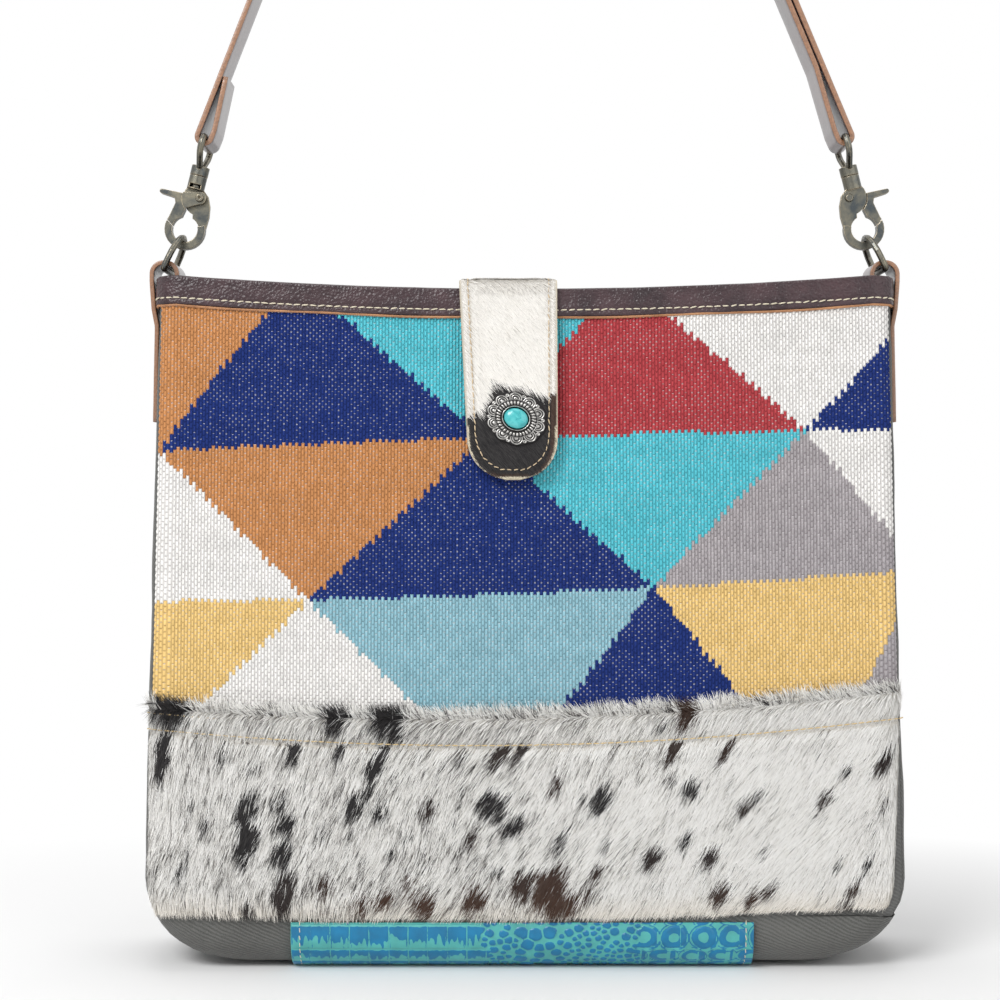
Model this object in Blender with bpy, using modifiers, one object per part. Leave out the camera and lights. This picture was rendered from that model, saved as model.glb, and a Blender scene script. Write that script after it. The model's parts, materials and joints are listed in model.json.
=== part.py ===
"""Shoulder bag with a kilim front, a hair-on hide band, a canvas body and a clip-on leather strap.

X runs across the front, +Y from the front to the back, +Z up. The origin is on the floor, under the
middle of the base patch. Sizes are in metres.
"""

import math

import bmesh
import bpy
from mathutils import Matrix, Vector

# Bag body, measured outside the canvas
BASE_WIDTH = 0.358
TOP_WIDTH = 0.346
BASE_DEPTH = 0.074
TOP_DEPTH = 0.040
RIM_HEIGHT = 0.3208       # top edge of the walls at the sides
RIM_SAG = 0.0065          # how far the top edge hangs at its middle
BELLY = 0.004             # how far the front and back swell
EDGE_RADIUS = 0.012       # round between the base and the front and back
CORNER_RUN = 0.045        # boxed corner of the base, along X
CORNER_RISE = 0.036       # boxed corner of the base, along Z
CORNER_SHARE = 0.36       # plan corner radius as a share of the half depth
BASE_SEAM = 0.025         # top edge of the canvas base
KILIM_BOTTOM = 0.105
HIDE_BOTTOM = 0.020
HIDE_TOP = 0.119

# Layers of the wall
CLEARANCE = 0.0003
LINING = 0.0010
SHELL = 0.0022            # canvas and kilim
HIDE = 0.0022
PATCH = 0.0015
BINDING = 0.0014
BINDING_DROP = 0.0120
BINDING_ROUND = 0.0010
PATCH_LEFT = -0.108
PATCH_RIGHT = 0.105
PATCH_TOP = 0.0195

# Closure tab, its ornament and its snap
TAB_X = -0.0065
TAB_TOP_WIDTH = 0.046
TAB_END_WIDTH = 0.041
TAB_END_HEIGHT = RIM_HEIGHT - 0.0948    # lowest point of the tab above the floor
TAB_HIDE = 0.0020
TAB_BACKING = 0.0012
TAB_BEND = 0.0012
BACKING_INSET = 0.0010
ANCHOR = 0.0026
ANCHOR_LENGTH = 0.055
CONCHO_HEIGHT = RIM_HEIGHT - 0.0668
CONCHO_LENGTH = 0.0275
CONCHO_WIDTH = 0.0245
CONCHO_TURN = math.radians(-17)
CONCHO_PLATE = 0.0010
CONCHO_DOME = 0.0022
SCALLOPS = 15
SCALLOP_DEPTH = 0.0009
ROPE_RADIUS = 0.0009
STONE_LENGTH = 0.0113
STONE_WIDTH = 0.0093
STONE_HEIGHT = 0.0024
POST_RADIUS = 0.0014
SNAP_STANDOFF = 0.0017    # how much further the snap holds the tab off the front
SOCKET_RADIUS = 0.0060
SOCKET_BORE = 0.0039
SOCKET_HEIGHT = 0.0016
SOCKET_PLATE = 0.0005
STUD_FLANGE = 0.0008
STUD_RADIUS = 0.0030
STUD_HEIGHT = 0.0021

# Side tabs and D-rings
SIDE_TAB_WIDTH = 0.020
SIDE_TAB = 0.0021
SIDE_TAB_LOW = RIM_HEIGHT - 0.0668
SIDE_TAB_INSIDE = RIM_HEIGHT - 0.0368
SIDE_TAB_EASE = 0.0012    # slack of the loop beside the binding
RING_WIRE = 0.0016        # radius
RING_STRAIGHT = 0.0054
RING_TILT = math.radians(25)
RING_CORNER = 0.0022
RING_PLAY = 0.0005

# Trigger snap hook, in its own frame: bow centre at the origin, +Z up its axis, +X to the lever
HOOK_TILT = math.radians(14)
BOW_INNER = 0.0062
BOW_LIMB = 0.0035
HOOK_THICKNESS = 0.0044
PLATE_SPLIT = 0.00015     # half the slit between the body plate and the gate plate
PLATE_INSET = 0.00015     # step from the bow's faces to the plates
PIVOT = (-0.0033, 0.0163)
PIVOT_SWEEP = 0.0084      # edge of the body plate round the pivot
GATE_REACH = 0.0186       # from the pivot to the tip of the gate
NOSE_GAP = 0.0003
GATE_BOSS = 0.0031
RIVET_RADIUS = 0.0013
RIVET_HEAD = 0.0020
RIVET_HEAD_HEIGHT = 0.0007
LEVER_LENGTH = 0.0150
LEVER_HEIGHT = 0.0152
LEVER_THICKNESS = 0.0022
NECK_LOW = 0.0198
NECK_TOP = 0.0263
NECK_RADIUS = 0.0042
SWIVEL_PIN = 0.0016
SWIVEL_HEAD = 0.0024
POCKET_LOW = 0.0203
POCKET_TOP = 0.0222
SPRING_RADIUS = 0.0020
SPRING_WIRE = 0.00018
SPRING_TURNS = 1.5
SPRING_POCKET = 0.0012

# Swivel eye above the hook
EYE_BLOCK = 0.0045
EYE_REACH = 0.0443        # from the bow centre to the eye's bar
EYE_WIRE = 0.0016
EYE_SHOULDER = 0.0070

# Strap
STRAP_WIDTH = 0.0216
STRAP = 0.0024
STRAP_PLAY = 0.0005
STRAP_LOOP = 0.0034       # bend radius round the eye's bar
STRAP_LEFT_SLOPE = 0.39
STRAP_RIGHT_SLOPE = 0.42
STRAP_TOP_RADIUS = 0.042
STRAP_LEFT_END = 0.030
STRAP_RIGHT_END = 0.155
STRAP_LAYER_GAP = 0.0008

WALL = LINING + CLEARANCE + SHELL
SHELL_LAYER = (LINING + CLEARANCE, WALL)
HIDE_LAYER = (WALL + CLEARANCE, WALL + CLEARANCE + HIDE)
PATCH_LAYER = (WALL + CLEARANCE, WALL + CLEARANCE + PATCH)
BINDING_FACE = WALL + CLEARANCE + BINDING
FLOOR_LIFT = PATCH_LAYER[1]
INNER_RIM = RIM_HEIGHT - FLOOR_LIFT

# The wall's running measure goes round the plan in eight stretches, from the left end of the front
FRONT_EDGE = 0.6          # where the front panels end, in the plan's corner stretch
FRONT_STEPS = 14
LEVEL_RISE = 2            # the level where the walls stand clear of the boxed corners
LEVEL_RIM = 3

COLOURS = {
    "canvas": (0.105, 0.105, 0.098, 0.85, 0),
    "lining": (0.16, 0.13, 0.10, 0.9, 0),
    "binding_leather": (0.060, 0.034, 0.038, 0.35, 0),
    "strap_leather": (0.055, 0.035, 0.035, 0.4, 0),
    "hide": (0.62, 0.61, 0.57, 0.8, 0),
    "tab_suede": (0.42, 0.33, 0.25, 0.9, 0),
    "patch_leather": (0.09, 0.42, 0.46, 0.35, 0),
    "brass": (0.23, 0.19, 0.12, 0.35, 1),
    "steel": (0.45, 0.45, 0.45, 0.3, 1),
    "silver": (0.62, 0.60, 0.56, 0.3, 1),
    "turquoise_stone": (0.05, 0.50, 0.52, 0.3, 0),
    "kilim_tan": (0.58, 0.25, 0.09, 0.9, 0),
    "kilim_navy": (0.018, 0.035, 0.13, 0.9, 0),
    "kilim_turquoise": (0.08, 0.46, 0.56, 0.9, 0),
    "kilim_red": (0.43, 0.065, 0.065, 0.9, 0),
    "kilim_white": (0.80, 0.78, 0.72, 0.9, 0),
    "kilim_grey": (0.34, 0.32, 0.34, 0.9, 0),
    "kilim_yellow": (0.82, 0.52, 0.16, 0.9, 0),
    "kilim_sky": (0.23, 0.44, 0.55, 0.9, 0),
}

# Kilim triangles: rows of apexes above the floor, and the colours between the slanting lines
KILIM_ROWS = (0.316, 0.245, 0.1725, 0.100)
KILIM_STEPS = 15          # rows of facets up the kilim
KILIM_PITCH = 0.154       # width of one triangle pair
KILIM_START = -0.168      # apex on the second row line that lies furthest left
KILIM_COLOURS = (
    ("kilim_tan", "kilim_navy", "kilim_turquoise", "kilim_red", "kilim_white", "kilim_navy"),
    ("kilim_white", "kilim_tan", "kilim_navy", "kilim_turquoise", "kilim_grey", "kilim_white"),
    (
        "kilim_white",
        "kilim_yellow",
        "kilim_white",
        "kilim_sky",
        "kilim_navy",
        "kilim_yellow",
        "kilim_grey",
    ),
)


def clear_scene():
    for old in list(bpy.data.objects):
        bpy.data.objects.remove(old, do_unlink=True)


def make_collection(name):
    group = bpy.data.collections.new(name)
    bpy.context.scene.collection.children.link(group)
    return group


def material(name):
    found = bpy.data.materials.get(name)
    if found:
        return found
    red, green, blue, rough, metal = COLOURS[name]
    made = bpy.data.materials.new(name)
    made.use_nodes = True
    shader = made.node_tree.nodes["Principled BSDF"]
    shader.inputs["Base Color"].default_value = (red, green, blue, 1)
    shader.inputs["Roughness"].default_value = rough
    shader.inputs["Metallic"].default_value = metal
    made.diffuse_color = (red, green, blue, 1)
    return made


def add_object(name, mesh, finish, smooth=35):
    """A new object of the bag, shaded smooth where it is round."""
    piece = bpy.data.objects.new(name, mesh)
    bag.objects.link(piece)
    if finish and not mesh.materials:
        mesh.materials.append(material(finish))
    mesh.shade_smooth()
    mesh.set_sharp_from_angle(angle=math.radians(smooth))
    return piece


def mesh_from(bm, name):
    bmesh.ops.recalc_face_normals(bm, faces=bm.faces)
    mesh = bpy.data.meshes.new(name)
    bm.to_mesh(mesh)
    bm.free()
    return mesh


def evaluated_mesh(piece):
    """The object's mesh with its modifiers done and its caps welded."""
    bpy.context.view_layer.update()
    ready = piece.evaluated_get(bpy.context.evaluated_depsgraph_get())
    mesh = bpy.data.meshes.new_from_object(ready)
    bm = bmesh.new()
    bm.from_mesh(mesh)
    bmesh.ops.remove_doubles(bm, verts=bm.verts, dist=1e-6)
    bm.to_mesh(mesh)
    bm.free()
    return mesh


def settle(piece):
    """Turns a curve or a modified object into a plain mesh object of the same name."""
    mesh = evaluated_mesh(piece)
    name, place = piece.name, piece.matrix_world.copy()
    finish = piece.active_material
    bpy.data.objects.remove(piece, do_unlink=True)
    if finish and not mesh.materials:
        mesh.materials.append(finish)
    plain = add_object(name, mesh, None)
    plain.matrix_world = place
    return plain


def boolean(piece, operation, tools):
    """Joins tools to a piece or cuts them from it, and clears the tools away."""
    for tool in tools:
        step = piece.modifiers.new(operation.lower(), "BOOLEAN")
        step.operation = operation
        step.object = tool
    bpy.context.view_layer.update()
    plain = settle(piece)
    for tool in tools:
        bpy.data.objects.remove(tool, do_unlink=True)
    return plain


def plate(name, outline, low, high, finish, holes=()):
    """A flat outline in XZ as a 2D curve, from low to high along Y."""
    curve = bpy.data.curves.new(name, "CURVE")
    curve.dimensions = "2D"
    curve.fill_mode = "BOTH"
    curve.extrude = (high - low) / 2
    for loop in (outline, *holes):
        spline = curve.splines.new("POLY")
        spline.points.add(len(loop) - 1)
        for point, (x, z) in zip(spline.points, loop):
            point.co = (x, z, 0, 1)
        spline.use_cyclic_u = True
    piece = bpy.data.objects.new(name, curve)
    bag.objects.link(piece)
    curve.materials.append(material(finish))
    piece.matrix_world = Matrix.Translation((0, (low + high) / 2, 0)) @ Matrix.Rotation(math.pi / 2, 4, "X")
    plain = settle(piece)
    plain.data.transform(plain.matrix_world)
    plain.matrix_world = Matrix.Identity(4)
    return plain


def wire(name, points, radius, finish, closed=True, sides=2):
    """A round wire along points, as a curve with a bevel."""
    curve = bpy.data.curves.new(name, "CURVE")
    curve.dimensions = "3D"
    curve.bevel_depth = radius
    curve.bevel_resolution = sides
    curve.use_fill_caps = True
    spline = curve.splines.new("POLY")
    spline.points.add(len(points) - 1)
    for point, place in zip(spline.points, points):
        point.co = (*place, 1)
    spline.use_cyclic_u = closed
    piece = bpy.data.objects.new(name, curve)
    bag.objects.link(piece)
    curve.materials.append(material(finish))
    return settle(piece)


def rod(name, radius, low, high, finish, axis="Z", centre=(0, 0), segments=24):
    """A cylinder primitive along Z or Y, between two heights on that axis."""
    bm = bmesh.new()
    bmesh.ops.create_cone(
        bm, cap_ends=True, segments=segments, radius1=radius, radius2=radius, depth=high - low
    )
    middle = (low + high) / 2
    if axis == "Z":
        bm.transform(Matrix.Translation((centre[0], centre[1], middle)))
    else:
        turn = Matrix.Rotation(math.pi / 2, 4, "X")
        bm.transform(Matrix.Translation((centre[0], middle, centre[1])) @ turn)
    return add_object(name, mesh_from(bm, name), finish)


def block(name, size, centre, finish):
    bm = bmesh.new()
    bmesh.ops.create_cube(bm, size=1, matrix=Matrix.Translation(centre) @ Matrix.Diagonal((*size, 1)))
    return add_object(name, mesh_from(bm, name), finish)


def turned(name, profile, finish, segments=32):
    """A turned shape: its profile at +X, top to bottom on the outside, with a Screw modifier."""
    bm = bmesh.new()
    corners = [bm.verts.new((radius, 0, height)) for radius, height in profile]
    for first, second in zip(corners, corners[1:]):
        bm.edges.new((first, second))
    mesh = bpy.data.meshes.new(name)
    bm.to_mesh(mesh)
    bm.free()
    mesh.materials.append(material(finish))
    piece = bpy.data.objects.new(name, mesh)
    bag.objects.link(piece)
    screw = piece.modifiers.new("turn", "SCREW")
    screw.steps = screw.render_steps = segments
    screw.use_merge_vertices = True
    screw.merge_threshold = 0.00001
    return settle(piece)


def arc(centre, radius, start, end, steps):
    """Points on an arc in a plane, with its angles in degrees."""
    angles = [math.radians(start + (end - start) * i / steps) for i in range(steps + 1)]
    return [(centre[0] + radius * math.cos(a), centre[1] + radius * math.sin(a)) for a in angles]


def rounded_path(corners, closed=False, step=math.radians(20)):
    """A path in a plane through corners of (x, z, radius), each corner rounded by an arc."""
    count = len(corners)
    path = []
    for i, (x, z, radius) in enumerate(corners):
        here = Vector((x, z))
        if radius == 0 or (not closed and i in (0, count - 1)):
            path.append(here)
            continue
        before = (Vector(corners[i - 1][:2]) - here).normalized()
        after = (Vector(corners[(i + 1) % count][:2]) - here).normalized()
        half = before.angle(after) / 2
        centre = here + (before + after).normalized() * radius / math.sin(half)
        first = here + before * radius / math.tan(half) - centre
        turn = math.pi - 2 * half
        side = 1 if before.x * after.y - before.y * after.x < 0 else -1
        steps = max(2, math.ceil(turn / step))
        for k in range(steps + 1):
            angle = side * turn * k / steps
            spun = Matrix.Rotation(angle, 2) @ first
            path.append(centre + spun)
    kept = [path[0]]
    for point in path[1:]:
        if (point - kept[-1]).length > 1e-6:
            kept.append(point)
    return kept


def ribbon(name, path, width, thickness, finish):
    """A flat leather strip: an open surface along a path in XZ, given its thickness by Solidify."""
    bm = bmesh.new()
    near = [bm.verts.new((p.x, -width / 2, p.y)) for p in path]
    far = [bm.verts.new((p.x, width / 2, p.y)) for p in path]
    for i in range(len(path) - 1):
        bm.faces.new((near[i], near[i + 1], far[i + 1], far[i]))
    mesh = bpy.data.meshes.new(name)
    bm.to_mesh(mesh)
    bm.free()
    mesh.materials.append(material(finish))
    piece = bpy.data.objects.new(name, mesh)
    bag.objects.link(piece)
    skin = piece.modifiers.new("thickness", "SOLIDIFY")
    skin.thickness = thickness
    skin.offset = 0
    skin.use_even_offset = True
    return settle(piece)


# The wall's inner face: every layer of the bag is laid on it


def inner_size(height):
    """Half width, half depth and plan corner radius of the wall's inner face at a height over it."""
    share = height / INNER_RIM
    half_width = (BASE_WIDTH + (TOP_WIDTH - BASE_WIDTH) * share) / 2 - WALL
    half_depth = (BASE_DEPTH + (TOP_DEPTH - BASE_DEPTH) * share) / 2 - WALL
    if height < CORNER_RISE:
        fall = 1 - height / CORNER_RISE
        half_width -= CORNER_RUN * (1 - math.sqrt(1 - fall**2))
    if height < EDGE_RADIUS:
        half_depth -= EDGE_RADIUS - math.sqrt(EDGE_RADIUS**2 - (EDGE_RADIUS - height) ** 2)
    return half_width, half_depth, CORNER_SHARE * half_depth


def level_height(level, across):
    """Height over the inner floor of a level, at a share of the half width across the bag."""
    rim = INNER_RIM - RIM_SAG * (1 - across**2)
    if level <= 1:
        return EDGE_RADIUS * (1 - math.cos(level * math.pi / 2))
    if level <= LEVEL_RISE:
        return EDGE_RADIUS + (CORNER_RISE - EDGE_RADIUS) * (level - 1)
    return CORNER_RISE + (rim - CORNER_RISE) * (level - LEVEL_RISE)


def level_of(height, across=1):
    """The level that lies at a height above the floor."""
    over = height - FLOOR_LIFT
    if over <= EDGE_RADIUS:
        return math.acos(1 - over / EDGE_RADIUS) * 2 / math.pi
    if over <= CORNER_RISE:
        return 1 + (over - EDGE_RADIUS) / (CORNER_RISE - EDGE_RADIUS)
    rim = INNER_RIM - RIM_SAG * (1 - across**2)
    return LEVEL_RISE + (over - CORNER_RISE) / (rim - CORNER_RISE)


def inner_point(run, level):
    run %= 8
    stretch, part = int(run), run - int(run)
    across = {0: 2 * part - 1, 4: 1 - 2 * part}.get(stretch, 1)
    height = level_height(level, across)
    half_width, half_depth, radius = inner_size(height)
    flat_x, flat_y = half_width - radius, half_depth - radius
    turn = part * math.pi / 2
    if stretch == 0:
        x, y = flat_x * across, -half_depth
    elif stretch == 4:
        x, y = flat_x * across, half_depth
    elif stretch == 2:
        x, y = half_width, flat_y * (2 * part - 1)
    elif stretch == 6:
        x, y = -half_width, flat_y * (1 - 2 * part)
    else:
        side_x = 1 if stretch in (1, 3) else -1
        side_y = -1 if stretch in (1, 7) else 1
        lead, trail = math.sin(turn), math.cos(turn)
        if stretch in (3, 7):
            lead, trail = trail, lead
        x = side_x * (flat_x + radius * lead)
        y = side_y * (flat_y + radius * trail)
    if stretch in (0, 4):
        swell = BELLY * (1 - across**2) * math.sin(math.pi * min(max(height / INNER_RIM, 0), 1))
        y += swell if stretch == 4 else -swell
    return Vector((x, y, height + FLOOR_LIFT))


def wall_point(run, level, out):
    """A point at a distance out from the wall's inner face."""
    here = inner_point(run, level)
    if level <= 0:
        return here + Vector((0, 0, -out))
    nudge = 0.001
    along = inner_point(run + nudge, level) - inner_point(run - nudge, level)
    up = inner_point(run, level + nudge) - inner_point(run, max(level - nudge, 0))
    return here + along.cross(up).normalized() * out


def seam_run(run, level, side):
    """A seam's place along the wall, moved to one side by half the clearance."""
    nudge = 0.001
    stretch = (inner_point(run + side * nudge, level) - inner_point(run, level)).length / nudge
    return run + side * CLEARANCE / 2 / stretch


def seam_level(run, level, side):
    nudge = 0.001
    rise = (inner_point(run, level + side * nudge) - inner_point(run, level)).length / nudge
    return level + side * CLEARANCE / 2 / rise


def spread(low, high, steps):
    return [low + (high - low) * i / steps for i in range(steps + 1)]


def runs_between(low, high, front_steps=FRONT_STEPS):
    """Places along the wall, on the same lines for every layer."""
    marks = []
    for stretch in range(-1, 9):
        steps = {0: front_steps, 4: front_steps, 2: 2, 6: 2}.get(stretch % 8, 3)
        marks += spread(stretch, stretch + 1, steps)[:-1]
    inside = [m for m in marks if low + 0.02 < m < high - 0.02]
    return [low, *inside, high]


LEVEL_MARKS = [0, 1 / 3, 2 / 3, 1, 1.33, 1.66, *spread(LEVEL_RISE, LEVEL_RIM, 6)]


def levels_between(low, high):
    inside = [m for m in LEVEL_MARKS if low + 0.04 < m < high - 0.04]
    return [low, *inside, high]


def layered(name, rows, finish, floor=False, closed=False, face_finish=None):
    """A solid between two grids of points: rows holds (outer row, inner row), lowest first."""
    bm = bmesh.new()
    outer = [[bm.verts.new(p) for p in row[0]] for row in rows]
    inner = [[bm.verts.new(p) for p in row[1]] for row in rows]
    wide = len(outer[0])
    spans = range(wide if closed else wide - 1)
    names = []
    for grid, back in ((outer, False), (inner, True)):
        for j in range(len(rows) - 1):
            for i in spans:
                k = (i + 1) % wide
                face = bm.faces.new((grid[j][i], grid[j][k], grid[j + 1][k], grid[j + 1][i]))
                if face_finish and not back:
                    label = face_finish(face.calc_center_median())
                    if label not in names:
                        names.append(label)
                    face.material_index = 1 + names.index(label)
    for i in spans:
        k = (i + 1) % wide
        bm.faces.new((outer[-1][i], outer[-1][k], inner[-1][k], inner[-1][i]))
        if not floor:
            bm.faces.new((outer[0][i], outer[0][k], inner[0][k], inner[0][i]))
    if floor:
        bm.faces.new(outer[0])
        bm.faces.new(inner[0])
    if not closed:
        for i in (0, wide - 1):
            for j in range(len(rows) - 1):
                bm.faces.new((outer[j][i], outer[j + 1][i], inner[j + 1][i], inner[j][i]))
    mesh = mesh_from(bm, name)
    mesh.materials.append(material(finish))
    for label in names:
        mesh.materials.append(material(label))
    return add_object(name, mesh, None)


def wall_panel(name, run_low, run_high, level_low, level_high, layer, finish, **look):
    """A panel of the wall between two seams and two levels, kept half the clearance inside them."""
    rows = []
    low = seam_level(run_low + 0.5, level_low, 1)
    high = level_high if level_high == LEVEL_RIM else seam_level(run_low + 0.5, level_high, -1)
    for level in levels_between(low, high):
        runs = runs_between(run_low, run_high)
        runs = [seam_run(run_low, level, 1), *runs[1:-1], seam_run(run_high, level, -1)]
        rows.append([[wall_point(run, level, out) for run in runs] for out in reversed(layer)])
    return layered(name, rows, finish, **look)


def make_lining():
    runs = runs_between(0, 8, FRONT_STEPS // 2)[:-1]
    rows = [
        [[wall_point(run, level, out) for run in runs] for out in (LINING, 0)]
        for level in levels_between(0, LEVEL_RIM)
    ]
    layered("lining", rows, "lining", floor=True, closed=True)


def make_base_panel():
    runs = runs_between(0, 8)[:-1]
    top = seam_level(0.5, level_of(BASE_SEAM), -1)
    rows = [
        [[wall_point(run, level, out) for run in runs] for out in reversed(SHELL_LAYER)]
        for level in levels_between(0, top)
    ]
    layered("base_panel", rows, "canvas", floor=True, closed=True)


def kilim_finish(place):
    """The colour of the kilim at a point: bands of triangles between zigzag lines."""
    row = sum(place.z < bottom for bottom in KILIM_ROWS[1:-1])
    top, bottom = KILIM_ROWS[row], KILIM_ROWS[row + 1]
    share = (place.z - bottom) / (top - bottom)
    # the last row's apexes stand half a pitch aside of the others'
    place_along = (place.x - KILIM_START) / KILIM_PITCH + (0.5 if row == 2 else 0)
    cell = math.floor(place_along)
    part = place_along - cell
    inside = abs(2 * part - 1) < (1 - share if row == 0 else share)
    index = 2 * cell + 1 if inside else (2 * cell if part < 0.5 else 2 * cell + 2)
    names = KILIM_COLOURS[row]
    return names[min(max(index, 0), len(names) - 1)]


def make_kilim():
    low, high = level_of(KILIM_BOTTOM), LEVEL_RIM
    run_low, run_high = -FRONT_EDGE, 1 + FRONT_EDGE
    rows = []
    for level in spread(seam_level(0.5, low, 1), high, KILIM_STEPS):
        runs = [seam_run(run_low, level, 1), -1 / 3, *spread(0, 1, 2 * FRONT_STEPS), 4 / 3]
        runs.append(seam_run(run_high, level, -1))
        rows.append([[wall_point(run, level, out) for run in runs] for out in reversed(SHELL_LAYER)])
    layered("kilim_panel", rows, "kilim_white", face_finish=kilim_finish)


def make_walls():
    base_top, kilim_low = level_of(BASE_SEAM), level_of(KILIM_BOTTOM)
    front = (-FRONT_EDGE, 1 + FRONT_EDGE)
    wall_panel("front_canvas", *front, base_top, kilim_low, SHELL_LAYER, "canvas")
    make_kilim()
    wall_panel("gusset_right", front[1], 3, base_top, LEVEL_RIM, SHELL_LAYER, "canvas")
    wall_panel("back_panel", 3, 6, base_top, LEVEL_RIM, SHELL_LAYER, "canvas")
    wall_panel("gusset_left", 6, 8 + front[0], base_top, LEVEL_RIM, SHELL_LAYER, "canvas")
    hide_low, hide_top = level_of(HIDE_BOTTOM), level_of(HIDE_TOP)
    wall_panel("hide_panel", *front, hide_low, hide_top, HIDE_LAYER, "hide")


def make_base_patch():
    """Embossed leather that comes down the front, passes under the base and goes up the back."""
    columns = spread(PATCH_LEFT, PATCH_RIGHT, 12)
    levels = levels_between(0, level_of(PATCH_TOP))
    bm = bmesh.new()
    sheets = []
    for out in reversed(PATCH_LAYER):
        front, back = [], []
        for level in levels:
            half_width, half_depth, radius = inner_size(level_height(level, 0))
            shares = [(x / (half_width - radius) + 1) / 2 for x in columns]
            front.append([bm.verts.new(wall_point(share, level, out)) for share in shares])
            back.append([bm.verts.new(wall_point(5 - share, level, out)) for share in shares])
        sheets.append((front, back))
        for side in (front, back):
            for low_row, high_row in zip(side, side[1:]):
                for i in range(len(columns) - 1):
                    bm.faces.new((low_row[i], low_row[i + 1], high_row[i + 1], high_row[i]))
        bm.faces.new([*front[0], *reversed(back[0])])
    (front, back), (inner_front, inner_back) = sheets
    for side, inner_side in ((front, inner_front), (back, inner_back)):
        for i in range(len(columns) - 1):
            bm.faces.new((side[-1][i], side[-1][i + 1], inner_side[-1][i + 1], inner_side[-1][i]))
    for end in (0, -1):
        loop = [row[end] for row in reversed(front)] + [row[end] for row in back]
        inner_loop = [row[end] for row in reversed(inner_front)] + [row[end] for row in inner_back]
        for k in range(len(loop) - 1):
            bm.faces.new((loop[k], loop[k + 1], inner_loop[k + 1], inner_loop[k]))
    add_object("base_patch", mesh_from(bm, "base_patch"), "patch_leather")


def rim_point(run, rise, out):
    """A point near the rim: a rise above the top edge, along the wall's slope."""
    return wall_point(run, LEVEL_RIM + rise / (INNER_RIM - CORNER_RISE), out)


def make_binding():
    """A leather channel over the whole top edge."""
    inner, outer, crown = -CLEARANCE - BINDING, BINDING_FACE, CLEARANCE + BINDING
    section = [
        (outer, -BINDING_DROP),
        (outer, crown - BINDING_ROUND),
        (outer - BINDING_ROUND, crown),
        (inner + BINDING_ROUND, crown),
        (inner, crown - BINDING_ROUND),
        (inner, -BINDING_DROP),
        (-CLEARANCE, -BINDING_DROP),
        (-CLEARANCE, CLEARANCE),
        (WALL + CLEARANCE, CLEARANCE),
        (WALL + CLEARANCE, -BINDING_DROP),
    ]
    bm = bmesh.new()
    runs = runs_between(0, 8)[:-1]
    rings = [[bm.verts.new(rim_point(run, rise, out)) for out, rise in section] for run in runs]
    for i, ring in enumerate(rings):
        after = rings[(i + 1) % len(rings)]
        for k in range(len(section)):
            n = (k + 1) % len(section)
            bm.faces.new((ring[k], ring[n], after[n], after[k]))
    add_object("top_binding", mesh_from(bm, "top_binding"), "binding_leather")


def front_run(x):
    """The wall's running measure at an x on the front's top edge."""
    half_width, half_depth, radius = inner_size(INNER_RIM)
    return (x / (half_width - radius) + 1) / 2


def strip_frames(path):
    """Each point of a path in YZ with the direction out of the bag there."""
    frames = []
    for i, here in enumerate(path):
        before, after = path[max(i - 1, 0)], path[min(i + 1, len(path) - 1)]
        along = (after - before).normalized()
        frames.append((here, Vector((along.y, -along.x))))
    return frames


def strip(name, path, widths, low, high, finish):
    """A leather strip across the bag's top: path in YZ, with its own half width at each point."""
    rows = []
    for (here, out), half in zip(strip_frames(path), widths):
        columns = [TAB_X + half * k / 3 for k in range(-3, 4)]
        rows.append(
            [[(x, *(here + out * distance)) for x in columns] for distance in (high, low)]
        )
    return layered(name, rows, finish)


def tab_path():
    """The tab's inner face from its hinge over the mouth and down the front, in YZ."""
    run = front_run(TAB_X)
    crown = [
        rim_point(front_run(TAB_X + side * TAB_TOP_WIDTH / 2), CLEARANCE + BINDING, BINDING_FACE).z
        for side in (-1, 1)
    ]
    top = max(crown) + CLEARANCE
    back = rim_point(5 - run, 0, BINDING_FACE + CLEARANCE)
    hinge = Vector((back.y + ANCHOR / 2, top + (TAB_HIDE + TAB_BACKING + CLEARANCE) / 2))
    face = rim_point(run, -BINDING_ROUND, BINDING_FACE + CLEARANCE)
    corner = arc((face.y + TAB_BEND, top - TAB_BEND), TAB_BEND, 90, 180, 4)
    path = [Vector((hinge.x, top)), Vector((hinge.x * 0.35, top))]
    path += [Vector(point) for point in corner]
    heights = spread(RIM_HEIGHT - BINDING_DROP - RIM_SAG, TAB_END_HEIGHT, 8)
    for i, height in enumerate(heights):
        level = level_of(height, 0)
        out = BINDING_FACE + CLEARANCE + SNAP_STANDOFF * min(i / 4, 1)
        place = wall_point(run, level, out)
        path.append(Vector((place.y, place.z)))
    return path, hinge


def tab_widths(path, inset=0):
    """Half widths along the tab: tapering down the front and round at the end."""
    end = path[-1]
    widths = []
    for point in path:
        share = min(max((RIM_HEIGHT - point.y) / (RIM_HEIGHT - TAB_END_HEIGHT), 0), 1)
        half = (TAB_TOP_WIDTH + (TAB_END_WIDTH - TAB_TOP_WIDTH) * share) / 2 - inset
        left = (point - end).length
        reach = TAB_END_WIDTH / 2 * 0.8
        if point.x < 0 and left < reach:
            half *= 0.45 + 0.55 * math.sqrt(1 - (1 - left / reach) ** 2)
        widths.append(half)
    return widths


def with_round_end(path):
    """The path with extra points near its end, where the outline rounds."""
    last, end = path[-2], path[-1]
    extra = [last + (end - last) * share for share in (0.35, 0.65, 0.85, 0.95)]
    return [*path[:-1], *extra, end]


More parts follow.
